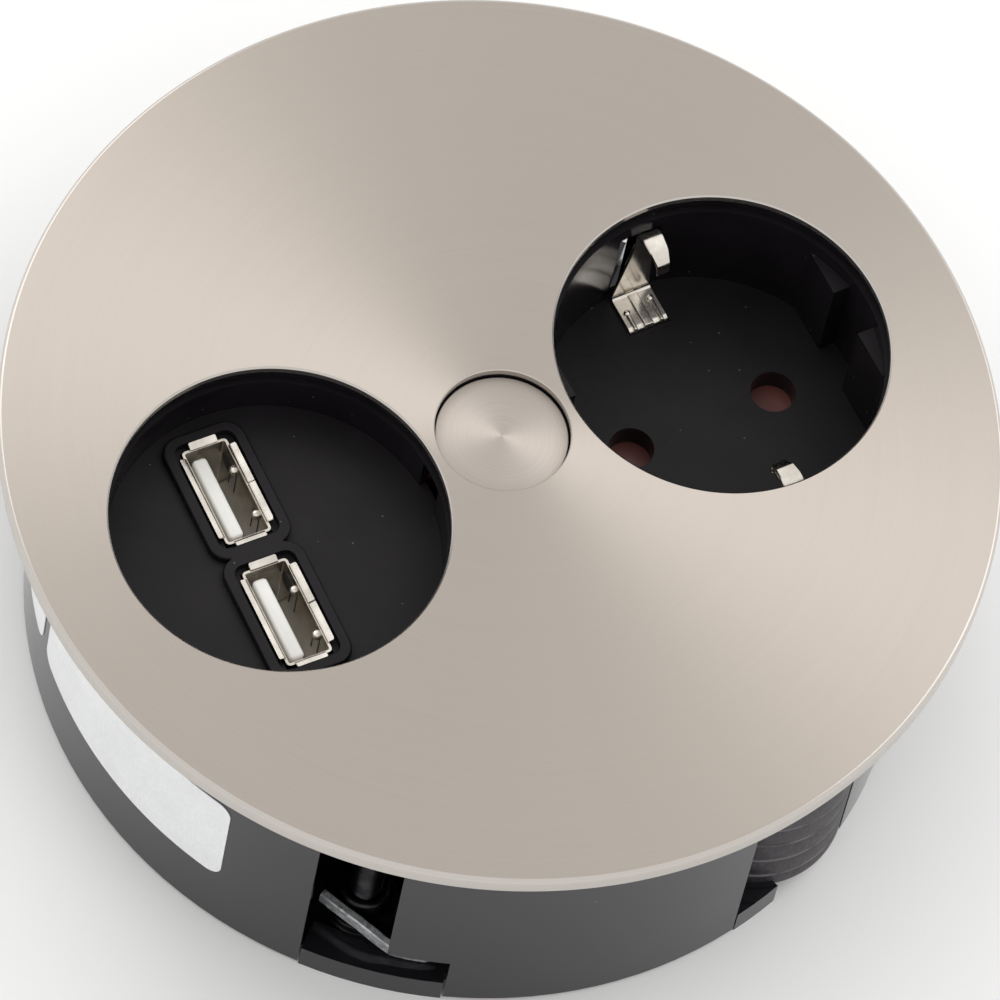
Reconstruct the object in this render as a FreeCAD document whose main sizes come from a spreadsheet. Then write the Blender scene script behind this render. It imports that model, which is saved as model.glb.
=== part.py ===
import FreeCAD, Part
import math
import os

import Sketcher

# Recessed desk socket, in millimetres. The origin is on the axis of the round body, at the level of the
# desk surface, +Z is up, and +X runs from the charger well to the mains well.

doc = FreeCAD.newDocument("desk_socket")

# Driving dimensions
DIMENSIONS = {
    # Cover plate
    "plate_radius": 58.5,
    "plate_thickness": 1.0,
    "plate_top": 2.6,
    "rim_wall": 1.0,
    "rim_gap": 0.2,
    "rim_round": 0.6,
    "opening_edge": 0.3,
    "opening_chamfer": 0.2,
    "centre_hole_radius": 7.96,
    # Carrier under the plate
    "carrier_clearance": 0.5,
    "carrier_gap": 0.2,
    "carrier_lip": 0.4,
    "carrier_boss_wall": 1.2,
    "carrier_boss_height": 0.8,
    "carrier_pot_floor": 0.35,
    "stop_inset": 3.3,
    "stop_width": 1.0,
    "stop_height": 0.6,
    "stop_angle": 66,
    "stop_travel": 90,
    "stop_clearance": 0.15,
    # Pivot
    "hub_neck_radius": 5.0,
    "hub_clearance": 0.1,
    "hub_flange_radius": 7.6,
    "hub_flange_thickness": 0.4,
    "hub_spigot_radius": 3.0,
    "hub_spigot_length": 1.2,
    "washer_thickness": 0.22,
    "washer_gap": 0.03,
    "cap_radius": 7.8,
    "cap_thickness": 0.4,
    "pivot_screw_radius": 1.5,
    "pivot_screw_length": 11.0,
    "pivot_head_share": 2.1,
    "pivot_head_depth": 1.1,
    "pivot_boss_radius": 5.4,
    "pivot_boss_length": 9.0,
    # Housing
    "flange_gap": 0.7,
    "flange_overhang": 4.3,
    "flange_thickness": 1.0,
    "housing_wall": 2.0,
    "housing_depth": 39.3,
    "slip_ring_edge": 0.8,
    "slip_ring_width": 2.5,
    "slip_ring_height": 0.5,
    "deck_depth": 1.2,
    "deck_thickness": 2.0,
    "screw_fit": 0.05,
    # Wells
    "hub_room": 7.4,
    "insert_side_gap": 0.1,
    "insert_clearance": 0.2,
    "insert_rim_width": 1.0,
    "insert_rim_thickness": 0.8,
    "mains_wall": 1.0,
    "mains_floor_depth": 15.7,
    "mains_floor_thickness": 3.2,
    "mains_skirt_length": 4.1,
    "mains_skirt_wall": 1.2,
    "pin_spacing": 19.0,
    "pin_hole_radius": 2.7,
    "guide_width": 2.3,
    "guide_gap": 6.0,
    "guide_depth": 2.4,
    "clip_gap_width": 5.4,
    "clip_gap_depth": 2.6,
    "clip_gap_inset": 0.6,
    # Earth strip
    "strip_width": 5.0,
    "strip_thickness": 0.6,
    "strip_rise_inset": 5.9,
    "strip_blade_inset": 0.55,
    "strip_nose_inset": 4.9,
    "strip_top_depth": 1.4,
    "strip_straight": 3.2,
    "strip_lean": 0.5,
    "strip_shoulder": 0.7,
    "strip_crown_back": 1.6,
    "strip_crown_front": 1.2,
    "strip_nose_drop": 1.9,
    "strip_curl_back": 0.9,
    "strip_curl_drop": 3.6,
    "strip_end_back": 2.4,
    "strip_end_drop": 4.2,
    "strip_seat": 0.02,
    "strip_slot_fit": 0.3,
    # Contact block
    "block_flange": 2.0,
    "block_length": 16.0,
    "block_height": 9.0,
    "block_reach": 15.5,
    "block_channel": 6.4,
    "block_floor": 1.0,
    "block_screw_inset": 3.5,
    "block_screw_radius": 1.1,
    "block_boss_wall": 1.3,
    "block_hole_stop": 0.5,
    "chamber_radius": 3.2,
    "contact_radius": 2.95,
    "contact_bore": 2.35,
    "contact_length": 8.8,
    "contact_slit": 0.8,
    "contact_tail_width": 3.0,
    "contact_tail_thickness": 0.8,
    "contact_tail_length": 2.4,
    "contact_tail_fit": 0.15,
    "contact_floor": 0.6,
    "contact_slit_start": 1.5,
    # Shutter
    "shutter_radius": 12.7,
    "shutter_thickness": 1.5,
    "shutter_gap": 0.2,
    "shutter_window": 3.05,
    "shutter_throw": 36,
    "shutter_hub_radius": 3.2,
    "shutter_hub_gap": 0.25,
    "shutter_pin_radius": 1.5,
    "shutter_pin_clearance": 0.06,
    "spring_inner": 3.9,
    "spring_pitch": 1.2,
    "spring_strip": 0.3,
    "spring_height": 1.0,
    "spring_half_turns": 6,
    "spring_post_radius": 0.6,
    "spring_seat": 0.02,
    # Charger well
    "charger_turn": 2.2,
    "charger_wall": 0.9,
    "charger_floor_depth": 5.9,
    "charger_floor_thickness": 1.5,
    "charger_skirt": 1.0,
    "charger_skirt_wall": 1.1,
    "notch_width": 4.0,
    "notch_inset": 0.6,
    "notch_top_gap": 0.3,
    "collar_height": 1.0,
    "collar_wall": 1.3,
    "collar_gap": 1.0,
    "collar_end_share": 0.75,
    "collar_round": 2.4,
    "collar_edge": 0.35,
    "moat_round": 1.3,
    "collar_margin": 0.44,
    "port_row_x": 1.86,
    "port_row_y": 0.73,
    "port_width": 5.12,
    "port_length": 12.5,
    "port_metal": 0.3,
    "port_depth": 13.5,
    "port_proud": 0.5,
    "port_fit": 0.1,
    "flare_length": 1.1,
    "flare_angle": 38,
    "long_lip_share": 0.78,
    "short_lip_share": 0.62,
    "tongue_thickness": 1.84,
    "tongue_width": 11.1,
    "tongue_offset": 0.75,
    "tongue_recess": 0.8,
    "tongue_base": 3.0,
    "pad_width": 1.0,
    "pad_thickness": 0.2,
    "pad_length": 7.0,
    "bump_radius": 0.55,
    "bump_depth": 2.0,
    "bump_half_height": 0.6,
    "bump_flat": 0.4,
    # Charger board
    "board_thickness": 1.6,
    "board_left_inset": 2.6,
    "board_right_inset": 0.6,
    "board_side_inset": 2.6,
    "board_corner": 3.0,
    "board_seat_gap": 0.1,
    "post_radius": 2.4,
    "post_screw_radius": 1.0,
    "post_hole_stop": 1.0,
    "transformer_width": 14.0,
    "transformer_length": 16.0,
    "transformer_height": 12.0,
    "capacitor_radius": 4.0,
    "capacitor_height": 13.0,
    "chip_height": 1.8,
    # Terminal block
    "terminal_x": -8.0,
    "terminal_inset": 21.5,
    "terminal_length": 19.5,
    "terminal_width": 14.0,
    "terminal_height": 12.0,
    "terminal_drop": 12.0,
    "terminal_bore": 1.8,
    "terminal_screw_radius": 1.6,
    # Cord gland and clamp
    "gland_inset": 11.1,
    "gland_angle": 294.5,
    "gland_radius": 11.3,
    "gland_groove": 0.9,
    "gland_ring_pitch": 3.8,
    "gland_ring_land": 3.0,
    "gland_rings": 5,
    "gland_bore": 4.0,
    "gland_fit": 0.1,
    "gland_cradle_gap": 0.3,
    "gland_cradle_wall": 1.2,
    "gland_cradle_length": 24.0,
    "gland_cradle_start": 110,
    "gland_cradle_sweep": 85,
    "gland_window_left": 12.05,
    "gland_window_right": 11.68,
    "gland_window_angle": 293.3,
    "gland_tab_start": 7.3,
    "clamp_left": 11.67,
    "clamp_in": 1.67,
    "clamp_reach": 6.0,
    "clamp_width": 5.0,
    "clamp_thickness": 1.5,
    "clamp_drop": 12.9,
    "clamp_boss_radius": 2.5,
    "clamp_ridge": 0.6,
    "clamp_hole_stop": 3.0,
    "cord_hole_margin": 1.0,
    # Base cover
    "base_bottom": 39.8,
    "base_thickness": 2.0,
    "base_fit": 0.2,
    "base_edge_round": 0.5,
    "base_screw_inset": 6.53,
    "base_screw_angle": 30.02,
    "base_screw_radius": 1.4,
    "base_screw_reach": 9.0,
    "base_screw_hole": 10.0,
    "base_head_radius": 3.1,
    "base_head_recess": 0.8,
    "base_post_radius": 3.1,
    # Claws
    "claw_inset": 8.0,
    "claw_angle": 46.7,
    "claw_slot_left": 5.2,
    "claw_slot_right": 4.9,
    "claw_slot_top": 4.0,
    "claw_notch_right": 12.2,
    "claw_notch_top": 30.8,
    "claw_tab_top": 35.9,
    "claw_tab_gap": 0.15,
    "claw_bottom": 35.0,
    "claw_height": 3.6,
    "claw_thickness": 1.2,
    "claw_arc_radius": 22.5,
    "claw_arc_x": 17.9,
    "claw_arc_y": 5.7,
    "claw_arc_start": 24.5,
    "claw_arc_sweep": 36.3,
    "nut_radius": 2.95,
    "nut_flange_radius": 4.4,
    "nut_flange": 0.6,
    "nut_height": 4.4,
    "nut_clearance": 0.07,
    "claw_screw_radius": 2.0,
    "claw_screw_clearance": 0.06,
    "claw_head_radius": 3.4,
    "claw_head_height": 2.1,
    "claw_head_depth": 1.5,
    "claw_head_bevel": 0.6,
    "claw_head_clearance": 0.2,
    "claw_head_gap": 0.1,
    "claw_recess_reach": 2.2,
    "claw_recess_depth": 1.3,
    "claw_neck": 0.4,
    "claw_stub_wall": 1.2,
    "claw_stub_gap": 0.3,
    "claw_boss_radius": 4.7,
    "claw_boss_bottom": 6.6,
    "claw_screw_tip": 36.6,
    "clip_thickness": 0.5,
    "clip_radius": 3.5,
    # Screws
    "screw_slot_width": 0.8,
    "screw_slot_depth": 0.8,
    # Labels
    "label_skin": 0.1,
    "label_gap": 0.02,
    "label_start": 170,
    "label_span": 38.6,
    "label_top": 12.7,
    "label_bottom": 29.1,
    "label_corner": 2.0,
    "small_label_end": 168,
    "small_label_span": 20,
    "small_label_top": 18.7,
    # Wires
    "wire_radius": 1.15,
    "feed_wire_radius": 0.8,
}

# Sizes that follow the driving ones
FOLLOWING = {
    "flange_radius": "plate_radius - rim_wall - flange_gap",
    "slip_ring_outer": "flange_radius - slip_ring_edge",
    "slip_ring_inner": "slip_ring_outer - slip_ring_width",
    "housing_radius": "flange_radius - flange_overhang",
    "recess_radius": "housing_radius - housing_wall",
    "stop_polar": "housing_radius - stop_inset",
    "insert_rim_radius": "(recess_radius - insert_side_gap - hub_room) / 2",
    "insert_radius": "insert_rim_radius - insert_rim_width",
    "opening_pitch": "hub_room + insert_rim_radius",
    "mains_well_radius": "insert_radius - mains_wall",
    "charger_well_radius": "insert_radius - charger_wall",
    "opening_radius": "mains_well_radius + opening_edge",
    "guide_flat": "mains_well_radius - guide_width",
    "strip_rise": "mains_well_radius - strip_rise_inset",
    "strip_blade": "mains_well_radius - strip_blade_inset",
    "strip_nose": "mains_well_radius - strip_nose_inset",
    "block_screw_polar": "insert_radius - block_screw_inset",
    "collar_reach_x": "port_row_x + port_width / 2 + port_metal + collar_gap + collar_wall",
    "collar_reach_y": "port_length / 2 + port_metal + collar_gap * collar_end_share + collar_wall",
    "collar_limit": "sqrt((charger_well_radius - collar_margin)^2 - collar_reach_x^2)",
    "port_pitch": "(collar_limit - collar_reach_y - port_row_y) * 2",
    "board_left": "charger_well_radius - board_left_inset",
    "board_right": "charger_well_radius - board_right_inset",
    "board_half_width": "charger_well_radius - board_side_inset",
    "terminal_y": "terminal_inset - housing_radius",
    "gland_polar": "housing_radius - gland_inset",
    "clamp_x": "gland_polar * cos(gland_angle) - clamp_left",
    "clamp_y": "gland_polar * sin(gland_angle) + clamp_in",
    "base_screw_x": "(housing_radius - base_screw_inset) * cos(base_screw_angle)",
    "base_screw_y": "(housing_radius - base_screw_inset) * sin(base_screw_angle)",
    "claw_polar": "housing_radius - claw_inset",
}

sheet = doc.addObject("Spreadsheet::Sheet", "Sizes")
cells = [(alias, str(number)) for alias, number in DIMENSIONS.items()]
cells += [(alias, f"={formula}") for alias, formula in FOLLOWING.items()]
for row, (alias, content) in enumerate(cells, start=1):
    sheet.setAlias(f"A{row}", alias)
    sheet.set(f"A{row}", content)
doc.recompute()


class Size:
    """A length or angle, held both as an expression on the sheet and as its present value."""

    def __init__(self, text, value):
        self.text = text
        self.value = float(value)

    def __add__(self, other):
        other = size(other)
        return Size(f"({self.text} + {other.text})", self.value + other.value)

    def __sub__(self, other):
        other = size(other)
        return Size(f"({self.text} - {other.text})", self.value - other.value)

    def __mul__(self, other):
        other = size(other)
        return Size(f"({self.text} * {other.text})", self.value * other.value)

    def __truediv__(self, other):
        other = size(other)
        return Size(f"({self.text} / {other.text})", self.value / other.value)

    def __neg__(self):
        return Size(f"(0 - {self.text})", -self.value)

    def __radd__(self, other):
        return size(other) + self

    def __rsub__(self, other):
        return size(other) - self

    def __rmul__(self, other):
        return size(other) * self


def size(item):
    return item if isinstance(item, Size) else Size(repr(float(item)), item)


def cosine(angle):
    angle = size(angle)
    return Size(f"cos({angle.text})", math.cos(math.radians(angle.value)))


def sine(angle):
    angle = size(angle)
    return Size(f"sin({angle.text})", math.sin(math.radians(angle.value)))


def root(item):
    return Size(f"sqrt({item.text})", math.sqrt(item.value))


class Sheet:
    """The sheet's cells by name."""

    def __getattr__(self, alias):
        return Size(f"Sizes.{alias}", sheet.get(alias))


D = Sheet()

parts = {}


def keep(label, thing):
    """Give a finished sub-part its Label and count it as one of the pieces."""
    thing.Label = label
    parts[label] = thing
    return thing


def bind(thing, prop, item):
    thing.setExpression(prop, size(item).text)


def place(thing, x=0, y=0, z=0, turn=0):
    """Bind the Placement of a sub-part: a turn about +Z, then a move."""
    for axis, item in (("x", x), ("y", y), ("z", z)):
        bind(thing, f"Placement.Base.{axis}", item)
    bind(thing, "Placement.Rotation.Angle", turn)
    return thing


# Sketch outlines: each returns a function that draws one closed outline into a sketch

def pin_point(sketch, geometry, end, x, y):
    """Hold a point of the sketch at x, y from its origin."""
    for kind, item in (("DistanceX", size(x)), ("DistanceY", size(y))):
        index = sketch.addConstraint(Sketcher.Constraint(kind, geometry, end, item.value))
        sketch.setExpression(f"Constraints[{index}]", item.text)


def polygon(*corners):
    def draw(sketch):
        spots = [FreeCAD.Vector(size(x).value, size(y).value, 0) for x, y in corners]
        count = len(spots)
        lines = [sketch.addGeometry(Part.LineSegment(spots[i], spots[(i + 1) % count]), False)
                 for i in range(count)]
        for i, line in enumerate(lines):
            sketch.addConstraint(Sketcher.Constraint("Coincident", line, 2, lines[(i + 1) % count], 1))
        for line, (x, y) in zip(lines, corners):
            pin_point(sketch, line, 1, x, y)
    return draw


def rectangle(left, right, low, high):
    return polygon((left, low), (right, low), (right, high), (left, high))


def rounded(left, right, low, high, radius):
    """A rectangle whose corners are arcs of a radius."""
    left, right, low, high, radius = (size(item) for item in (left, right, low, high, radius))
    spots = ((right - radius, high - radius), (left + radius, high - radius),
             (left + radius, low + radius), (right - radius, low + radius))

    def draw(sketch):
        up = FreeCAD.Vector(0, 0, 1)
        arcs = []
        for quarter, (x, y) in enumerate(spots):
            ring = Part.Circle(FreeCAD.Vector(x.value, y.value, 0), up, radius.value)
            start = math.pi / 2 * quarter
            arc = sketch.addGeometry(Part.ArcOfCircle(ring, start, start + math.pi / 2), False)
            pin_point(sketch, arc, 3, x, y)
            index = sketch.addConstraint(Sketcher.Constraint("Radius", arc, radius.value))
            sketch.setExpression(f"Constraints[{index}]", radius.text)
            arcs.append(arc)
        for quarter, arc in enumerate(arcs):
            after = arcs[(quarter + 1) % 4]
            ends = [sketch.getPoint(arc, 2), sketch.getPoint(after, 1)]
            line = sketch.addGeometry(Part.LineSegment(*ends), False)
            sketch.addConstraint(Sketcher.Constraint("Tangent", arc, 2, line, 1))
            sketch.addConstraint(Sketcher.Constraint("Tangent", line, 2, after, 1))
    return draw


def circle(x, y, radius):
    def draw(sketch):
        centre = FreeCAD.Vector(size(x).value, size(y).value, 0)
        ring = sketch.addGeometry(Part.Circle(centre, FreeCAD.Vector(0, 0, 1), size(radius).value), False)
        pin_point(sketch, ring, 3, x, y)
        index = sketch.addConstraint(Sketcher.Constraint("Radius", ring, size(radius).value))
        sketch.setExpression(f"Constraints[{index}]", size(radius).text)
    return draw


class Body:
    """A PartDesign body that is built up feature by feature about its own origin."""

    def __init__(self, label):
        self.label = label
        self.body = doc.addObject("PartDesign::Body", f"{label}_body")
        self.count = 0
        keep(label, self.body)

    def add(self, kind):
        self.count += 1
        return self.body.newObject(kind, f"{self.label}_{self.count}")

    def sketch(self, role, outlines, turn=0, x=0, y=0, lift=0):
        """A sketch on an origin plane, turned about the vertical and moved along its own axes."""
        sketch = self.add("Sketcher::SketchObject")
        plane = [f for f in self.body.Origin.OriginFeatures if f.Role == role][0]
        sketch.AttachmentSupport = [(plane, "")]
        sketch.MapMode = "FlatFace"
        upright = role != "XY_Plane"
        axis = FreeCAD.Vector(0, 1, 0) if upright else FreeCAD.Vector(0, 0, 1)
        sketch.AttachmentOffset = FreeCAD.Placement(FreeCAD.Vector(0, 0, 0), FreeCAD.Rotation(axis, 0))
        bind(sketch, "AttachmentOffset.Rotation.Angle", turn)
        for name, item in (("x", x), ("y", y), ("z", lift)):
            bind(sketch, f"AttachmentOffset.Base.{name}", item)
        for outline in outlines:
            outline(sketch)
        return sketch

    def extrude(self, kind, outlines, low, high, turn=0):
        start = low if kind == "PartDesign::Pad" else high
        sketch = self.sketch("XY_Plane", outlines, turn=turn, lift=start)
        feature = self.add(kind)
        feature.Profile = sketch
        bind(feature, "Length", size(high) - size(low))
        return feature

    def pad(self, *outlines, low, high, turn=0):
        return self.extrude("PartDesign::Pad", outlines, low, high, turn)

    def pocket(self, *outlines, low, high, turn=0):
        return self.extrude("PartDesign::Pocket", outlines, low, high, turn)

    def turned(self, *corners, x=0, y=0, start=0, sweep=360):
        """A profile of radii and heights turned about a vertical axis at x, y."""
        sketch = self.sketch("XZ_Plane", [polygon(*corners)], turn=start)
        bind(sketch, "AttachmentOffset.Base.x", size(x))
        bind(sketch, "AttachmentOffset.Base.z", -size(y))
        feature = self.add("PartDesign::Revolution")
        feature.Profile = sketch
        feature.ReferenceAxis = (sketch, ["V_Axis"])
        bind(feature, "Angle", sweep)
        return feature

    def windows(self, *corners, angle, radius, depth):
        """Cut an outline of sideways distances and heights inwards through the wall at an angle."""
        sketch = self.sketch("XZ_Plane", [polygon(*corners)], turn=size(angle) + 90)
        bind(sketch, "AttachmentOffset.Base.x", size(radius) * cosine(angle))
        bind(sketch, "AttachmentOffset.Base.z", -(size(radius) * sine(angle)))
        feature = self.add("PartDesign::Pocket")
        feature.Profile = sketch
        bind(feature, "Length", depth)
        return feature

    def repeat(self, features, count):
        """Repeat features round the vertical axis through the body's origin."""
        pattern = self.add("PartDesign::PolarPattern")
        axis = [f for f in self.body.Origin.OriginFeatures if f.Role == "Z_Axis"][0]
        pattern.Originals = features
        pattern.Axis = (axis, [""])
        pattern.Angle = 360
        pattern.Occurrences = count
        self.body.Tip = pattern
        return pattern

    def soften(self, kind, amount, chosen):
        """Fillet or chamfer the edges of the body that the test picks."""
        doc.recompute()
        base = self.body.Tip
        names = [f"Edge{i}" for i, edge in enumerate(base.Shape.Edges, start=1) if chosen(edge)]
        feature = self.add(kind)
        feature.Base = (base, names)
        bind(feature, "Radius" if kind == "PartDesign::Fillet" else "Size", amount)
        return feature

    def fillet(self, amount, chosen):
        return self.soften("PartDesign::Fillet", amount, chosen)

    def chamfer(self, amount, chosen):
        return self.soften("PartDesign::Chamfer", amount, chosen)


def ring_at(height, radius):
    """A test for a round edge at a height, with a radius."""
    height = size(height).value
    radius = size(radius).value

    def test(edge):
        curve = edge.Curve
        if not isinstance(curve, Part.Circle):
            return False
        return abs(curve.Radius - radius) < 0.01 and abs(edge.CenterOfMass.z - height) < 0.01
    return test


def cylinder(name, radius, low, high, x=0, y=0):
    thing = doc.addObject("Part::Cylinder", name)
    bind(thing, "Radius", radius)
    bind(thing, "Height", size(high) - size(low))
    return place(thing, x, y, low)


def cone(name, low_radius, high_radius, low, high, x=0, y=0):
    thing = doc.addObject("Part::Cone", name)
    bind(thing, "Radius1", low_radius)
    bind(thing, "Radius2", high_radius)
    bind(thing, "Height", size(high) - size(low))
    return place(thing, x, y, low)


def block(name, left, right, front, back, low, high):
    thing = doc.addObject("Part::Box", name)
    bind(thing, "Length", size(right) - size(left))
    bind(thing, "Width", size(back) - size(front))
    bind(thing, "Height", size(high) - size(low))
    return place(thing, left, front, low)


def fuse(name, *things):
    thing = doc.addObject("Part::MultiFuse", name)
    thing.Shapes = list(things)
    return thing


def cut(name, base, *tools):
    thing = doc.addObject("Part::Cut", name)
    thing.Base = base
    thing.Tool = tools[0] if len(tools) == 1 else fuse(f"{name}_tools", *tools)
    return thing


def group(name, things):
    """Separate solids that share one node."""
    thing = doc.addObject("Part::Compound", name)
    thing.Links = list(things)
    return thing


def screw(name, x, y, seat, tip, shank, head=1.9, head_height=1.3):
    """A pan-head screw driven upwards: the head hangs below its seat, and the shank rises to its tip."""
    bottom = seat - head_height
    shank = size(shank)
    dome = cone(f"{name}_head", shank * (head * 0.8), shank * head, bottom, seat, x, y)
    body = cylinder(f"{name}_shank", shank, seat, tip, x, y)
    slot = block(f"{name}_slot", size(x) - shank * head, size(x) + shank * head,
                 size(y) - D.screw_slot_width / 2, size(y) + D.screw_slot_width / 2,
                 bottom, bottom + D.screw_slot_depth)
    return cut(f"{name}_cut", fuse(f"{name}_solid", dome, body), slot)


# Levels that several pieces share
plate_under = D.plate_top - D.plate_thickness
deck_top = -D.deck_depth
deck_under = deck_top - D.deck_thickness
rim_top = deck_top + D.insert_rim_thickness
carrier_under = rim_top + D.carrier_gap
washer_seat = carrier_under + D.carrier_pot_floor
hub_seat = washer_seat + D.washer_gap + D.washer_thickness
recess_radius = D.recess_radius
mains_floor = -D.mains_floor_depth
mains_under = mains_floor - D.mains_floor_thickness
block_top = mains_under - D.mains_skirt_length
block_under = block_top - D.block_flange
tower_bottom = block_under - D.block_height
shutter_top = mains_under - D.shutter_gap
shutter_under = shutter_top - D.shutter_thickness
spring_low = (shutter_under + block_top - D.spring_height) / 2
spring_high = spring_low + D.spring_height
spring_step = D.spring_pitch / 2
half_turns = int(D.spring_half_turns.value)
spring_end = D.spring_inner + spring_step * half_turns + D.spring_strip
charger_floor = -D.charger_floor_depth
charger_under = charger_floor - D.charger_floor_thickness
port_mouth = charger_floor + D.port_proud
port_bottom = port_mouth - D.port_depth
board_top = port_bottom - D.board_seat_gap
board_under = board_top - D.board_thickness
base_top = -(D.base_bottom - D.base_thickness)
gland_x = D.gland_polar * cosine(D.gland_angle)
gland_y = D.gland_polar * sine(D.gland_angle)
pin_x = D.pin_spacing / 2
past = 1.0


# Cover: the plate, and the carrier that is bonded under it
def make_cover_plate():
    plate = Body("cover_plate")
    inner = D.plate_radius - D.rim_wall
    plate.turned((0, plate_under), (inner, plate_under), (inner, D.rim_gap),
                 (D.plate_radius, D.rim_gap), (D.plate_radius, D.plate_top), (0, D.plate_top))
    plate.pocket(circle(D.opening_pitch, 0, D.opening_radius),
                 circle(-D.opening_pitch, 0, D.opening_radius),
                 circle(0, 0, D.centre_hole_radius),
                 low=plate_under, high=D.plate_top)
    plate.fillet(D.rim_round, ring_at(D.plate_top, D.plate_radius))
    plate.chamfer(D.opening_chamfer, ring_at(D.plate_top, D.opening_radius))


def make_cover_carrier():
    carrier = Body("cover_carrier")
    bore = D.hub_neck_radius + D.hub_clearance
    boss = bore + D.carrier_boss_wall
    boss_low = carrier_under - D.carrier_boss_height
    pot = D.centre_hole_radius
    carrier.turned((bore, boss_low), (boss, boss_low), (boss, carrier_under),
                   (recess_radius - D.carrier_clearance, carrier_under),
                   (recess_radius - D.carrier_clearance, plate_under),
                   (pot, plate_under), (pot, washer_seat), (bore, washer_seat))
    hole = D.opening_radius + D.carrier_lip
    carrier.pocket(circle(D.opening_pitch, 0, hole), circle(-D.opening_pitch, 0, hole),
                   low=carrier_under - past, high=plate_under)
    half = D.stop_width / 2
    carrier.pad(rectangle(D.stop_polar - half, D.stop_polar + half, -half, half),
                low=deck_top - D.stop_height, high=plate_under, turn=D.stop_angle)


def make_pivot():
    hub = Body("pivot_hub")
    bore = D.pivot_screw_radius + D.screw_fit
    spigot_low = deck_top - D.hub_spigot_length
    flange_top = hub_seat + D.hub_flange_thickness
    hub.turned((bore, spigot_low), (D.hub_spigot_radius, spigot_low), (D.hub_spigot_radius, deck_top),
               (D.hub_neck_radius, deck_top), (D.hub_neck_radius, hub_seat), (D.hub_flange_radius, hub_seat),
               (D.hub_flange_radius, flange_top), (bore * D.pivot_head_share, flange_top),
               (bore, flange_top - bore * D.pivot_head_depth))
    pivot = Body("pivot_screw")
    radius = D.pivot_screw_radius
    head_top = flange_top - D.screw_fit
    reach = radius * D.pivot_head_share
    pivot.turned((0, -D.pivot_screw_length), (radius, -D.pivot_screw_length),
                 (radius, head_top - radius * D.pivot_head_depth), (reach, head_top), (0, head_top))
    half = D.screw_slot_width / 2
    pivot.pocket(rectangle(-reach, reach, -half, half), low=head_top - D.screw_slot_depth, high=head_top)
    washer = Body("wave_washer")
    washer_low = hub_seat - D.washer_thickness
    washer_bore = D.hub_neck_radius + D.hub_clearance
    washer.turned((washer_bore, washer_low), (D.hub_flange_radius, washer_low),
                  (D.hub_flange_radius, hub_seat), (washer_bore, hub_seat))
    cap = Body("centre_cap")
    cap_top = flange_top + D.cap_thickness
    bevel = D.cap_thickness / 3
    cap.turned((0, flange_top), (D.cap_radius, flange_top), (D.cap_radius, cap_top - bevel),
               (D.cap_radius - bevel, cap_top), (0, cap_top))
    slip = Body("slip_ring")
    slip.turned((D.slip_ring_inner, D.flange_thickness), (D.slip_ring_outer, D.flange_thickness),
                (D.slip_ring_outer, D.flange_thickness + D.slip_ring_height),
                (D.slip_ring_inner, D.flange_thickness + D.slip_ring_height))


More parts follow.
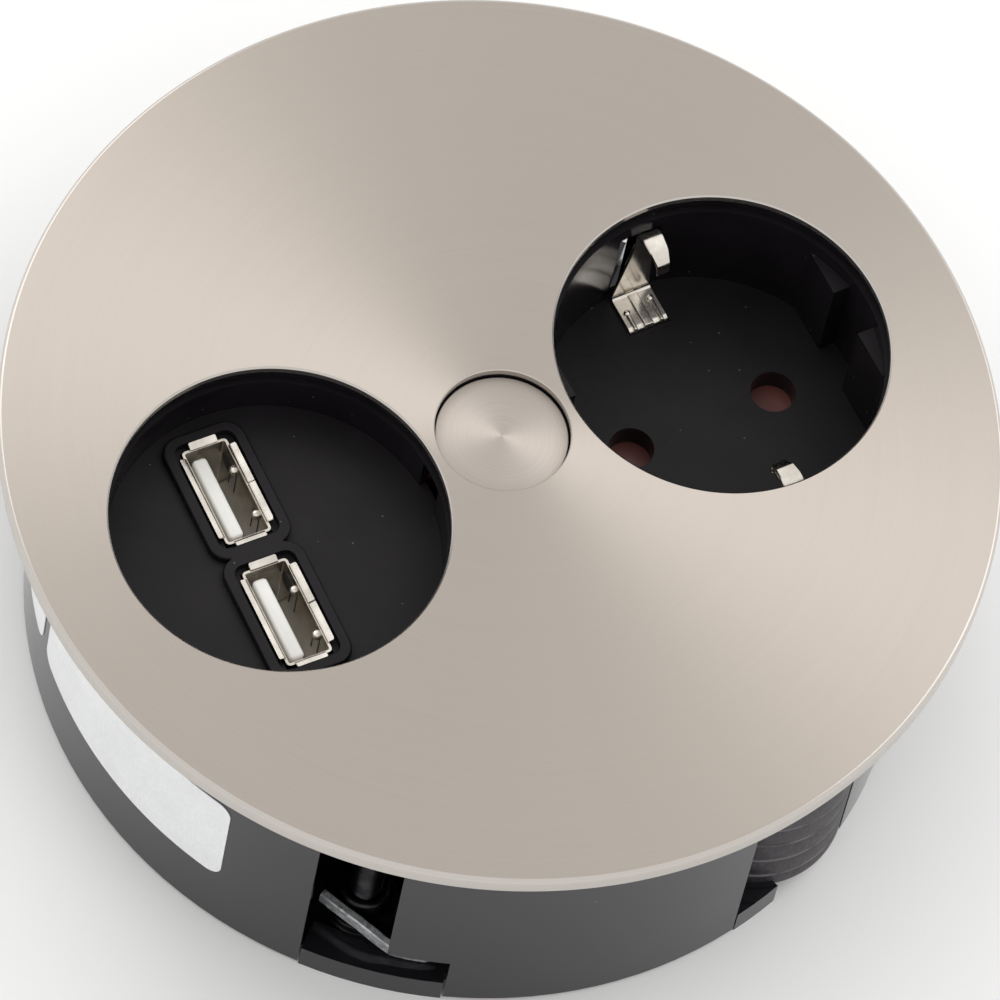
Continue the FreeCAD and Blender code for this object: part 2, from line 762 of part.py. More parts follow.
# Housing: flange, wall, deck with the two well holes, bosses, slots and the gland window
def make_housing():
    housing = Body("housing")
    radius = D.housing_radius
    bottom = -D.housing_depth
    housing.turned((0, deck_under), (recess_radius, deck_under), (recess_radius, bottom), (radius, bottom),
                   (radius, 0), (D.flange_radius, 0), (D.flange_radius, D.flange_thickness),
                   (recess_radius, D.flange_thickness), (recess_radius, deck_top), (0, deck_top))
    # Bosses under the deck
    housing.pad(circle(0, 0, D.pivot_boss_radius), low=deck_under - D.pivot_boss_length, high=deck_under)
    for side in (1, -1):
        for end in (1, -1):
            housing.pad(circle(D.base_screw_x * side, D.base_screw_y * end, D.base_post_radius),
                        low=base_top, high=deck_under)
    claw_x = D.claw_polar * cosine(D.claw_angle)
    claw_y = D.claw_polar * sine(D.claw_angle)
    housing.pad(circle(claw_x, claw_y, D.claw_boss_radius), circle(-claw_x, -claw_y, D.claw_boss_radius),
                low=-D.claw_boss_bottom, high=deck_under)
    housing.pad(circle(D.clamp_x, D.clamp_y - D.clamp_reach, D.clamp_boss_radius),
                circle(D.clamp_x, D.clamp_y + D.clamp_reach, D.clamp_boss_radius),
                low=-D.clamp_drop, high=deck_under)
    pad_reach = D.terminal_length / 3
    pad_width = D.terminal_width / 4
    housing.pad(rectangle(D.terminal_x - pad_reach, D.terminal_x + pad_reach,
                          D.terminal_y - pad_width, D.terminal_y + pad_width),
                low=-D.terminal_drop, high=deck_under)
    # Cradle round the inner side of the cord gland
    cradle_in = D.gland_radius + D.gland_cradle_gap
    cradle_out = cradle_in + D.gland_cradle_wall
    cradle_low = deck_under - D.gland_cradle_length
    housing.turned((cradle_in, cradle_low), (cradle_out, cradle_low), (cradle_out, deck_under),
                   (cradle_in, deck_under), x=gland_x, y=gland_y,
                   start=D.gland_angle + D.gland_cradle_start, sweep=D.gland_cradle_sweep)
    # Well holes, hub seat and screw holes
    hole = D.insert_radius + D.insert_clearance
    housing.pocket(circle(D.opening_pitch, 0, hole), circle(-D.opening_pitch, 0, hole),
                   low=deck_under, high=deck_top)
    spigot_low = deck_top - D.hub_spigot_length
    housing.pocket(circle(0, 0, D.hub_spigot_radius + D.screw_fit), low=spigot_low, high=deck_top)
    housing.pocket(circle(0, 0, D.pivot_screw_radius + D.screw_fit),
                   low=-D.pivot_screw_length - past, high=spigot_low)
    shank = D.claw_screw_radius + D.claw_screw_clearance
    head = D.claw_head_radius + D.claw_head_clearance
    head_seat = -(D.claw_head_depth + D.claw_head_height + D.claw_head_gap)
    housing.pocket(circle(claw_x, claw_y, head), circle(-claw_x, -claw_y, head), low=head_seat, high=deck_top)
    housing.pocket(circle(claw_x, claw_y, shank), circle(-claw_x, -claw_y, shank),
                   low=-D.claw_boss_bottom, high=head_seat)
    for side in (1, -1):
        for end in (1, -1):
            housing.pocket(circle(D.base_screw_x * side, D.base_screw_y * end,
                                  D.base_screw_radius + D.screw_fit),
                           low=base_top, high=base_top + D.base_screw_hole)
    for end in (1, -1):
        housing.pocket(circle(D.clamp_x, D.clamp_y + D.clamp_reach * end, D.post_screw_radius + D.screw_fit),
                       low=-D.clamp_drop, high=deck_under - D.clamp_hole_stop)
    # Arc groove for the stop lug
    groove_half = D.stop_width / 2 + D.stop_clearance
    groove_low = deck_top - D.stop_height - D.stop_clearance
    lug = size(math.degrees(1)) * (groove_half / D.stop_polar)
    groove = housing.add("PartDesign::Groove")
    sketch = housing.sketch("XZ_Plane", [rectangle(D.stop_polar - groove_half, D.stop_polar + groove_half,
                                                   groove_low, deck_top)], turn=D.stop_angle - lug)
    groove.Profile = sketch
    groove.ReferenceAxis = (sketch, ["V_Axis"])
    bind(groove, "Angle", D.stop_travel + lug * 2)
    # Slot and notch for each claw, with the opening that a tab of the base closes
    left = -D.claw_slot_left
    slot = housing.windows((left, bottom - past), (D.claw_notch_right, bottom - past),
                           (D.claw_notch_right, -D.claw_notch_top), (D.claw_slot_right, -D.claw_notch_top),
                           (D.claw_slot_right, -D.claw_slot_top), (left, -D.claw_slot_top),
                           angle=D.claw_angle, radius=radius + past, depth=D.housing_wall + past * 3)
    housing.repeat([slot], 2)
    # Window where the gland shows, open at the foot
    housing.windows((-D.gland_window_left, bottom - past), (D.gland_window_right, bottom - past),
                    (D.gland_window_right, deck_under - past), (-D.gland_window_left, deck_under - past),
                    angle=D.gland_window_angle, radius=radius + past, depth=D.housing_wall + past * 4)


def make_base():
    base = Body("base_cover")
    radius = recess_radius - D.base_fit
    bottom = -D.base_bottom
    bevel = D.base_edge_round
    base.turned((0, bottom), (radius - bevel, bottom), (radius, bottom + bevel), (radius, base_top),
                (0, base_top))
    left = D.claw_tab_gap - D.claw_slot_left
    right = D.claw_notch_right - D.claw_tab_gap
    inner = recess_radius - D.housing_wall
    # Each tab stands in an opening of the wall, so its faces follow the round wall
    arc = size(math.degrees(1)) / D.housing_radius
    tabs = [(D.claw_angle + arc * left + turn, arc * (right - left)) for turn in (0, 180)]
    first = D.gland_window_angle - arc * (D.gland_window_left - D.claw_tab_gap)
    last = D.gland_window_angle + arc * (D.gland_window_right - D.claw_tab_gap)
    tabs.append((first, D.gland_angle - D.gland_tab_start - first))
    tabs.append((D.gland_angle + D.gland_tab_start, last - D.gland_angle - D.gland_tab_start))
    for start, sweep in tabs:
        base.turned((inner, bottom), (D.housing_radius, bottom), (D.housing_radius, -D.claw_tab_top),
                    (inner, -D.claw_tab_top), start=start, sweep=sweep)
    base.pocket(circle(gland_x, gland_y, D.gland_radius + D.gland_fit), low=base_top, high=-D.claw_tab_top)
    claw_x = D.claw_polar * cosine(D.claw_angle)
    claw_y = D.claw_polar * sine(D.claw_angle)
    stub = D.claw_screw_radius + D.claw_stub_wall
    base.pad(circle(claw_x, claw_y, stub), circle(-claw_x, -claw_y, stub), low=base_top, high=-D.claw_tab_top)
    fit = D.claw_screw_radius + D.claw_screw_clearance
    base.pocket(circle(claw_x, claw_y, fit), circle(-claw_x, -claw_y, fit),
                low=-D.claw_screw_tip - D.claw_stub_gap, high=-D.claw_tab_top)
    base.pocket(circle(gland_x, gland_y, D.gland_bore + D.cord_hole_margin), low=bottom, high=base_top)
    for side in (1, -1):
        for end in (1, -1):
            x = D.base_screw_x * side
            y = D.base_screw_y * end
            base.pocket(circle(x, y, D.base_screw_radius + D.insert_clearance), low=bottom, high=base_top)
            base.pocket(circle(x, y, D.base_head_radius), low=bottom, high=base_top - D.base_head_recess)
    screws = []
    for side in (1, -1):
        for end in (1, -1):
            screws.append(screw(f"base_screw_{len(screws)}", D.base_screw_x * side, D.base_screw_y * end,
                                base_top - D.base_head_recess, base_top + D.base_screw_reach,
                                D.base_screw_radius, head=2.0, head_height=1.1))
    keep("base_screws", group("base_screw_group", screws))


# Mains well, modelled about its own axis and moved out to it
def to_mains(thing):
    return place(thing, D.opening_pitch, 0, 0)


def make_mains_insert():
    insert = Body("mains_insert")
    well = D.mains_well_radius
    outer = D.insert_radius
    skirt = outer - D.mains_skirt_wall
    insert.turned((0, mains_under), (skirt, mains_under), (skirt, block_top), (outer, block_top),
                  (outer, deck_top), (D.insert_rim_radius, deck_top), (D.insert_rim_radius, rim_top),
                  (well, rim_top), (well, mains_floor), (0, mains_floor))
    # Guide ledges: four prisms that stand against the round wall
    middle = (well + outer) / 2
    flat = D.guide_flat
    gap = D.guide_gap / 2
    far_x = root(middle * middle - gap * gap)
    far_y = root(middle * middle - flat * flat)
    for side in (1, -1):
        for end in (1, -1):
            insert.pad(polygon((flat * side, gap * end), (far_x * side, gap * end),
                               (flat * side, far_y * end)),
                       low=mains_floor, high=-D.guide_depth)
    diagonal = D.block_screw_polar * cosine(45)
    boss = D.block_screw_radius + D.block_boss_wall
    insert.pad(circle(diagonal, diagonal, boss), circle(-diagonal, -diagonal, boss),
               low=block_top, high=mains_under)
    insert.pocket(circle(pin_x, 0, D.pin_hole_radius), circle(-pin_x, 0, D.pin_hole_radius),
                  low=mains_under, high=mains_floor)
    half = D.strip_width / 2 + D.strip_slot_fit
    rise = D.strip_rise
    wide = D.strip_thickness / 2 + D.strip_slot_fit
    gap_half = D.clip_gap_width / 2
    for end in (1, -1):
        insert.pocket(rectangle(-half, half, (rise - wide) * end, (rise + wide) * end),
                      low=mains_under, high=mains_floor)
        insert.pocket(rectangle(-gap_half, gap_half, (well - D.clip_gap_inset) * end, (outer + past) * end),
                      low=mains_floor, high=-D.clip_gap_depth)
    pilot = D.block_screw_radius + D.screw_fit
    insert.pocket(circle(diagonal, diagonal, pilot), circle(-diagonal, -diagonal, pilot),
                  low=block_top, high=mains_under - D.block_hole_stop)
    to_mains(insert.body)


def make_contact_block():
    base = Body("contact_block")
    flange = D.insert_radius
    base.turned((0, block_under), (flange, block_under), (flange, block_top), (0, block_top))
    channel = D.block_channel / 2
    half = D.block_length / 2
    for side in (1, -1):
        base.pad(rectangle(channel * side, D.block_reach * side, -half, half),
                 low=tower_bottom, high=block_under)
    # Post that holds the outer end of the shutter's spring
    base.pad(circle(0, spring_end + D.spring_post_radius + D.spring_seat, D.spring_post_radius),
             low=block_top, high=spring_high)
    base.pocket(circle(pin_x, 0, D.chamber_radius), circle(-pin_x, 0, D.chamber_radius),
                low=tower_bottom + D.block_floor, high=block_top)
    tail = D.contact_tail_width / 2 + D.contact_tail_fit
    thick = D.contact_tail_thickness / 2 + D.contact_tail_fit
    for side in (1, -1):
        base.pocket(rectangle(pin_x * side - thick, pin_x * side + thick, -tail, tail),
                    low=tower_bottom, high=tower_bottom + D.block_floor)
    base.pocket(circle(0, 0, D.shutter_pin_radius + 0.02), low=block_under, high=block_top)
    slot_half = D.strip_width / 2 + D.strip_slot_fit
    wide = D.strip_thickness / 2 + D.strip_slot_fit
    for end in (1, -1):
        base.pocket(rectangle(-slot_half, slot_half,
                              (D.strip_rise - wide) * end, (D.strip_rise + wide) * end),
                    low=block_under, high=block_top)
    diagonal = D.block_screw_polar * cosine(45)
    clear = D.block_screw_radius + D.insert_clearance
    base.pocket(circle(diagonal, diagonal, clear), circle(-diagonal, -diagonal, clear),
                low=block_under, high=block_top)
    to_mains(base.body)
    screws = [screw(f"block_screw_{i}", diagonal * end, diagonal * end, block_under,
                    mains_under - 1, D.block_screw_radius) for i, end in enumerate((1, -1))]
    to_mains(keep("contact_block_screws", group("block_screw_group", screws)))


def make_pin_contact(label, side):
    """A slit sleeve that grips a pin, with a tail through the chamber floor."""
    floor = tower_bottom + D.block_floor
    top = floor + D.contact_length
    contact = Body(label)
    contact.turned((D.contact_bore, floor), (D.contact_radius, floor), (D.contact_radius, top),
                   (D.contact_bore, top))
    contact.pad(circle(0, 0, D.contact_radius), low=floor, high=floor + D.contact_floor)
    half = D.contact_slit / 2
    contact.pocket(rectangle(-D.contact_radius, D.contact_radius, -half, half),
                   low=floor + D.contact_slit_start, high=top)
    tail = D.contact_tail_width / 2
    thick = D.contact_tail_thickness / 2
    contact.pad(rectangle(-thick, thick, -tail, tail), low=floor - D.contact_tail_length, high=floor)
    place(contact.body, D.opening_pitch + pin_x * side, 0, 0)


def strip_outline(path, thickness):
    """Corners of a strip of a thickness along a path of points, with mitred bends."""
    half = thickness / 2
    left = []
    right = []
    count = len(path)
    for i, (x, y) in enumerate(path):
        normals = []
        for a, b in ((i - 1, i), (i, i + 1)):
            if a < 0 or b >= count:
                continue
            dx = path[b][0] - path[a][0]
            dy = path[b][1] - path[a][1]
            span = root(dx * dx + dy * dy)
            normals.append((-(dy / span), dx / span))
        if len(normals) == 1:
            nx, ny = normals[0]
        else:
            (ax, ay), (bx, by) = normals
            share = 1 + ax * bx + ay * by
            nx, ny = (ax + bx) / share, (ay + by) / share
        left.append((x + nx * half, y + ny * half))
        right.append((x - nx * half, y - ny * half))
    return left + right[::-1]


def make_earth_contact():
    """One folded strip: clip, blade and floor tab at each side, and the bridge under the contact block."""
    strip = Body("earth_contact")
    half = D.strip_thickness / 2
    low = block_under - half - D.strip_seat
    tab = mains_floor + half + D.strip_seat
    top = -D.strip_top_depth
    blade = D.strip_blade
    nose = D.strip_nose
    side = [(D.strip_rise, low), (D.strip_rise, tab), (blade, tab), (blade, top - D.strip_straight),
            (blade - D.strip_lean, top - D.strip_shoulder), (blade - D.strip_crown_back, top),
            (nose + D.strip_crown_front, top - D.strip_lean), (nose, top - D.strip_nose_drop),
            (nose + D.strip_curl_back, top - D.strip_curl_drop),
            (nose + D.strip_end_back, top - D.strip_end_drop)]
    path = [(-y, z) for y, z in side[::-1]] + side
    path = [(size(y), size(z)) for y, z in path]
    sketch = strip.sketch("YZ_Plane", [polygon(*strip_outline(path, D.strip_thickness))])
    feature = strip.add("PartDesign::Pad")
    feature.Profile = sketch
    feature.Midplane = True
    bind(feature, "Length", D.strip_width)
    to_mains(strip.body)


def make_shutter():
    shutter = Body("shutter")
    top = shutter_top
    low = shutter_under
    hub_low = block_top + D.shutter_hub_gap
    bore = D.shutter_pin_radius + D.shutter_pin_clearance
    shutter.turned((bore, hub_low), (D.shutter_hub_radius, hub_low), (D.shutter_hub_radius, low),
                   (D.shutter_radius, low), (D.shutter_radius, top), (bore, top))
    turn = -D.shutter_throw
    shutter.pocket(circle(pin_x, 0, D.shutter_window), circle(-pin_x, 0, D.shutter_window),
                   low=low, high=top, turn=turn)
    to_mains(shutter.body)
    pivot = Body("shutter_pivot")
    pivot.turned((0, block_under), (D.shutter_pin_radius, block_under), (D.shutter_pin_radius, mains_under),
                 (0, mains_under))
    to_mains(pivot.body)
    # Return spring: a flat strip wound in half turns, from the hub's side to a post on the block
    spring = Body("shutter_spring")
    for i in range(half_turns):
        inner = D.spring_inner + spring_step * i
        other = i % 2
        spring.turned((inner, spring_low), (inner + D.spring_strip, spring_low),
                      (inner + D.spring_strip, spring_high), (inner, spring_high),
                      y=spring_step * other, start=90 + 180 * other, sweep=180)
    tang = D.spring_strip / 2
    spring.pad(rectangle(-tang, tang, D.shutter_hub_radius + D.spring_seat, D.spring_inner + D.spring_strip),
               low=spring_low, high=spring_high)
    to_mains(spring.body)


# Charger well, modelled about its own axis, turned a little in its seat as photographed
def to_charger(thing):
    return place(thing, -D.opening_pitch, 0, 0, -D.charger_turn)


def port_centre(end):
    return -D.port_row_x, D.port_row_y + D.port_pitch / 2 * end


def make_charger_bezel():
    bezel = Body("charger_bezel")
    well = D.charger_well_radius
    outer = D.insert_radius
    skirt_low = charger_under - D.charger_skirt
    skirt = outer - D.charger_skirt_wall
    bezel.turned((0, charger_under), (skirt, charger_under), (skirt, skirt_low), (outer, skirt_low),
                 (outer, deck_top), (D.insert_rim_radius, deck_top), (D.insert_rim_radius, rim_top),
                 (well, rim_top), (well, charger_floor), (0, charger_floor))
    shell_x = D.port_width / 2 + D.port_metal
    shell_y = D.port_length / 2 + D.port_metal
    moat_x = shell_x + D.collar_gap
    moat_y = shell_y + D.collar_gap * D.collar_end_share
    collar_top = charger_floor + D.collar_height
    for end in (1, -1):
        x, y = port_centre(end)
        bezel.pad(rounded(x - moat_x - D.collar_wall, x + moat_x + D.collar_wall,
                          y - moat_y - D.collar_wall, y + moat_y + D.collar_wall, D.collar_round),
                  low=charger_floor, high=collar_top)
    # Soft outer edge round both collars
    bezel.fillet(D.collar_edge, lambda edge: edge.BoundBox.ZLength < 0.001
                 and abs(edge.BoundBox.ZMin - collar_top.value) < 0.001)
    for end in (1, -1):
        x, y = port_centre(end)
        bezel.pocket(rounded(x - moat_x, x + moat_x, y - moat_y, y + moat_y, D.moat_round),
                     low=charger_floor, high=collar_top)
        hole_x = shell_x + D.port_fit
        hole_y = shell_y + D.port_fit
        bezel.pocket(rectangle(x - hole_x, x + hole_x, y - hole_y, y + hole_y),
                     low=charger_under, high=charger_floor)
    # Notch in the wall on the side towards the middle
    notch = D.notch_width / 2
    bezel.pocket(rectangle(well - D.notch_inset, outer + past, -notch, notch),
                 low=charger_floor, high=rim_top - D.notch_top_gap)
    for x, y in board_posts():
        bezel.pad(circle(x, y, D.post_radius), low=board_top, high=charger_under)
        bezel.pocket(circle(x, y, D.post_screw_radius + D.screw_fit),
                     low=board_top, high=charger_under - D.post_hole_stop)
    to_charger(bezel.body)


def board_posts():
    reach = D.board_right - D.post_radius * 2
    spread = D.board_half_width - D.post_radius * 2
    return [(reach, spread), (reach, -spread), (D.post_radius * 1.6 - D.board_left, 0)]


def make_port(number, end):
    x, y = port_centre(end)
    half_x = D.port_width / 2
    half_y = D.port_length / 2
    metal = D.port_metal
    shell = Body(f"port_shell_{number}")
    shell.pad(rectangle(x - half_x - metal, x + half_x + metal, y - half_y - metal, y + half_y + metal),
              rectangle(x - half_x, x + half_x, y - half_y, y + half_y), low=port_bottom, high=port_mouth)
    # Spring bumps pressed inwards on the side away from the tongue
    for spot in (1, -1):
        bump = D.bump_radius
        middle = port_mouth - D.bump_depth
        shell.turned((0, middle - D.bump_half_height), (bump, middle - D.bump_flat),
                     (bump, middle + D.bump_flat), (0, middle + D.bump_half_height),
                     x=x + half_x, y=y + half_y * 0.5 * spot,
                     start=90, sweep=180)
    # Flared lips at the mouth, one leaf on each of the four sides
    out = sine(D.flare_angle) * D.flare_length
    up = cosine(D.flare_angle) * D.flare_length
    long_lip = D.port_length * D.long_lip_share
    short_lip = D.port_width * D.short_lip_share
    for plane, along, across, half, width in (("XZ_Plane", y, x, half_x, long_lip),
                                              ("YZ_Plane", x, y, half_y, short_lip)):
        for side in (1, -1):
            foot = across + half * side
            lip = [(foot, port_mouth - metal), (foot + metal * side, port_mouth - metal),
                   (foot + (metal + out) * side, port_mouth + up - metal),
                   (foot + out * side, port_mouth + up)]
            sketch = shell.sketch(plane, [polygon(*lip)])
            bind(sketch, "AttachmentOffset.Base.z", -along if plane == "XZ_Plane" else along)
            leaf = shell.add("PartDesign::Pad")
            leaf.Profile = sketch
            leaf.Midplane = True
            bind(leaf, "Length", width)
    to_charger(shell.body)
    tongue = Body(f"port_tongue_{number}")
    inset = D.port_fit / 2
    tongue.pad(rectangle(x - half_x + inset, x + half_x - inset, y - half_y + inset, y + half_y - inset),
               low=port_bottom, high=port_bottom + D.tongue_base)
    back = x - D.tongue_offset - D.tongue_thickness / 2
    front = x - D.tongue_offset + D.tongue_thickness / 2
    wide = D.tongue_width / 2
    tongue.pad(rectangle(back, front, y - wide, y + wide),
               low=port_bottom + D.tongue_base, high=port_mouth - D.tongue_recess)
    bevel = D.tongue_thickness / 4

    def tip(edge):
        box = edge.BoundBox
        return abs(box.ZMin - (port_mouth - D.tongue_recess).value) < 0.01 and box.ZLength < 0.01 \
            and box.YLength > 5
    tongue.chamfer(bevel, tip)
    to_charger(tongue.body)
    pads = []
    for step in (-1.5, -0.5, 0.5, 1.5):
        middle = y + D.tongue_width / 4.4 * step
        pads.append(block(f"pad_{number}_{len(pads)}", front, front + D.pad_thickness,
                          middle - D.pad_width / 2, middle + D.pad_width / 2,
                          port_bottom + D.tongue_base, port_bottom + D.tongue_base + D.pad_length))
    return pads


def make_ports():
    pads = make_port(1, 1) + make_port(2, -1)
    to_charger(keep("port_contacts", group("port_contact_group", pads)))


# Parts under the board: centre and scale of each can, and centre, length and width of each chip
CANS = ((12.5, 4.5, 1), (12.5, -4.5, 1), (-11.5, 8.5, 0.8))
CHIPS = ((-12, -9, 5, 4), (0, -13.5, 10, 4), (1, 10.5, 6.5, 5))


def make_charger_board():
    board = Body("charger_board")
    left = -D.board_left
    right = D.board_right
    half = D.board_half_width
    corner = D.board_corner
    board.pad(polygon((left + corner, -half), (right - corner, -half), (right, corner - half),
                      (right, half - corner), (right - corner, half), (left + corner, half),
                      (left, half - corner), (left, corner - half)), low=board_under, high=board_top)
    clear = D.post_screw_radius + D.insert_clearance
    board.pocket(*[circle(x, y, clear) for x, y in board_posts()], low=board_under, high=board_top)
    to_charger(board.body)
    screws = [screw(f"board_screw_{i}", x, y, board_under, board_under + 6, D.post_screw_radius)
              for i, (x, y) in enumerate(board_posts())]
    to_charger(keep("board_screws", group("board_screw_group", screws)))
    # Parts on the underside of the board
    half_x = D.transformer_width / 2
    half_y = D.transformer_length / 2
    low = board_under - D.transformer_height
    centre_y = -2
    core = block("core", -half_x, half_x, -half_y * 0.55 + centre_y, half_y * 0.55 + centre_y,
                 low, board_under)
    former = block("former", -half_x * 0.8, half_x * 0.8, -half_y + centre_y, half_y + centre_y,
                   low + 2.5, low + 9.5)
    keep("transformer", to_charger(fuse("transformer_solid", core, former)))
    cans = []
    for x, y, scale in CANS:
        radius = D.capacitor_radius * scale
        height = D.capacitor_height * scale
        can = cylinder(f"can_{len(cans)}", radius, board_under - height, board_under, x, y)
        groove = cylinder(f"can_ring_{len(cans)}", radius + 1, board_under - 2.6, board_under - 2.0, x, y)
        waist = cylinder(f"can_waist_{len(cans)}", radius - 0.4, board_under - 2.7, board_under - 1.9, x, y)
        cans.append(cut(f"can_cut_{len(cans)}", can, cut(f"can_groove_{len(cans)}", groove, waist)))
    keep("capacitors", to_charger(group("capacitor_group", cans)))
    chips = []
    for x, y, length, width in CHIPS:
        chips.append(block(f"chip_{len(chips)}", x - length / 2, x + length / 2, y - width / 2, y + width / 2,
                           board_under - D.chip_height, board_under))
    keep("charger_chips", to_charger(group("chip_group", chips)))


# Terminal block, hung from the deck's pad, with a screw over each wire bore
def make_terminals():
    terminal = Body("terminal_block")
    half_x = D.terminal_length / 2
    half_y = D.terminal_width / 2
    top = -D.terminal_drop
    low = top - D.terminal_height
    x = D.terminal_x
    y = D.terminal_y
    terminal.pad(rectangle(x - half_x, x + half_x, y - half_y, y + half_y), low=low, high=top)
    pole = D.terminal_length / 3
    bore_z = (top + low) / 2
    for step in (-1, 0, 1):
        sketch = terminal.sketch("XZ_Plane", [circle(x + pole * step, bore_z, D.terminal_bore)],
                                 lift=half_y - y)
        bore = terminal.add("PartDesign::Pocket")
        bore.Profile = sketch
        bind(bore, "Length", D.terminal_width)
    well = D.terminal_screw_radius + D.screw_fit
    places = [(x + pole * step, y + half_y * 0.5 * end) for step in (-1, 0, 1) for end in (1, -1)]
    terminal.pocket(*[circle(px, py, well) for px, py in places],
                    low=low, high=bore_z - D.terminal_bore * 0.7)
    screws = []
    for px, py in places:
        body = cylinder(f"pole_screw_{len(screws)}", D.terminal_screw_radius,
                        low + 1, bore_z - D.terminal_bore,
                        px, py)
        slot = block(f"pole_slot_{len(screws)}", px - 2, px + 2, py - D.screw_slot_width / 2,
                     py + D.screw_slot_width / 2, low + 1, low + 1 + D.screw_slot_depth)
        screws.append(cut(f"pole_cut_{len(screws)}", body, slot))
    keep("terminal_screws", group("terminal_screw_group", screws))


def make_gland():
    gland = Body("cable_gland")
    outer = D.gland_radius
    inner = outer - D.gland_groove
    corners = [(D.gland_bore, base_top)]
    level = base_top
    for ring in range(int(D.gland_rings.value)):
        corners += [(outer, level), (outer, level + D.gland_ring_land),
                    (inner, level + D.gland_ring_land + 0.2), (inner, level + D.gland_ring_pitch)]
        level = level + D.gland_ring_pitch
    corners += [(D.gland_bore, level)]
    gland.turned(*corners)
    place(gland.body, gland_x, gland_y, 0)


def make_clamp():
    clamp = Body("cable_clamp")
    top = -D.clamp_drop
    low = top - D.clamp_thickness
    half = D.clamp_width / 2
    reach = D.clamp_reach + D.clamp_boss_radius
    x = D.clamp_x
    y = D.clamp_y
    clamp.pad(rectangle(x - half, x + half, y - reach, y + reach), low=low, high=top)
    ridge = D.clamp_reach * 0.5
    clamp.pad(rectangle(x - 0.5, x + 0.5, y - ridge, y + ridge), low=top, high=top + D.clamp_ridge)
    clear = D.post_screw_radius + D.insert_clearance
    clamp.pocket(circle(x, y - D.clamp_reach, clear), circle(x, y + D.clamp_reach, clear), low=low, high=top)
    screws = [screw(f"clamp_screw_{i}", x, y + D.clamp_reach * end, low, low + 8, D.post_screw_radius)
              for i, end in enumerate((1, -1))]
    keep("clamp_screws", group("clamp_screw_group", screws))


# Claws: each hangs on a nut that climbs a long screw behind its slot
def at_claw(thing, half_turn):
    angle = D.claw_angle + half_turn
    return place(thing, D.claw_polar * cosine(angle), D.claw_polar * sine(angle), 0, angle)


# Outline of a claw's foot about its screw, out along X
CLAW_FOOT = ((-1.5, -4.3), (2.2, -3.9), (3.7, 0.5), (4.3, 5), (4.2, 8), (2.5, 7.6), (-1.5, 4.3))


def make_claw(number, half_turn):
    low = -D.claw_bottom
    claw = Body(f"claw_{number}")
    inner = D.claw_arc_radius - D.claw_thickness / 2
    outer = D.claw_arc_radius + D.claw_thickness / 2
    claw.turned((inner, low), (outer, low), (outer, low + D.claw_height), (inner, low + D.claw_height),
                x=-D.claw_arc_x, y=D.claw_arc_y, start=-D.claw_arc_start, sweep=D.claw_arc_sweep)
    claw.pad(polygon(*CLAW_FOOT), low=low, high=low + D.claw_thickness)
    eye = D.nut_radius + D.nut_clearance
    claw.pocket(circle(0, 0, eye), low=low, high=low + D.claw_thickness)
    at_claw(claw.body, half_turn)
    nut = Body(f"claw_nut_{number}")
    bore = D.claw_screw_radius + D.claw_screw_clearance
    flange_top = low - 0.05
    nut.turned((bore, flange_top - D.nut_flange), (D.nut_flange_radius, flange_top - D.nut_flange),
               (D.nut_flange_radius, flange_top), (D.nut_radius, flange_top),
               (D.nut_radius, flange_top + D.nut_height), (bore, flange_top + D.nut_height))
    at_claw(nut.body, half_turn)
    long_screw = Body(f"claw_screw_{number}")
    head_top = -D.claw_head_depth
    head_low = head_top - D.claw_head_height
    groove = -D.claw_boss_bottom - 0.05
    neck = D.claw_screw_radius - D.claw_neck
    long_screw.turned((0, -D.claw_screw_tip), (D.claw_screw_radius, -D.claw_screw_tip),
                      (D.claw_screw_radius, groove - D.clip_thickness), (neck, groove - D.clip_thickness),
                      (neck, groove), (D.claw_screw_radius, groove), (D.claw_screw_radius, head_low),
                      (D.claw_head_radius, head_low), (D.claw_head_radius, head_top - D.claw_head_bevel),
                      (D.claw_head_radius - D.claw_head_bevel, head_top), (0, head_top))
    reach = D.claw_recess_reach
    half = D.screw_slot_width / 2
    recess = head_top - D.claw_recess_depth
    long_screw.pocket(rectangle(-reach, reach, -half, half), low=recess, high=head_top)
    long_screw.pocket(rectangle(-half, half, -reach, reach), low=recess, high=head_top)
    at_claw(long_screw.body, half_turn)
    # Spring clip in the groove of the screw, under the deck's boss
    ring = cylinder(f"clip_ring_{number}", D.clip_radius, groove - D.clip_thickness, groove)
    hole = cylinder(f"clip_hole_{number}", neck + 0.03, groove - D.clip_thickness, groove)
    mouth = block(f"clip_mouth_{number}", 0, D.clip_radius * 2, -(neck * 0.9), neck * 0.9,
                  groove - D.clip_thickness, groove)
    return at_claw(cut(f"clip_{number}", ring, hole, mouth), half_turn)


def make_claws():
    clips = [make_claw(1, 180), make_claw(2, 0)]
    keep("screw_clips", group("screw_clip_group", clips))


# Labels on the side wall
def make_label(label, start, span, low, high):
    sticker = Body(label)
    inner = D.housing_radius + D.label_gap
    outer = inner + D.label_skin
    sticker.turned((inner, low), (outer, low), (outer, high), (inner, high), start=start, sweep=span)

    def corner(edge):
        box = edge.BoundBox
        return box.ZLength < 0.01 and edge.Length < D.label_skin.value * 1.5
    sticker.fillet(D.label_corner, corner)


def make_labels():
    make_label("rating_label", D.label_start, D.label_span, -D.label_bottom, -D.label_top)
    make_label("small_label", D.small_label_end - D.small_label_span, D.small_label_span,
               -D.label_bottom, -D.small_label_top)


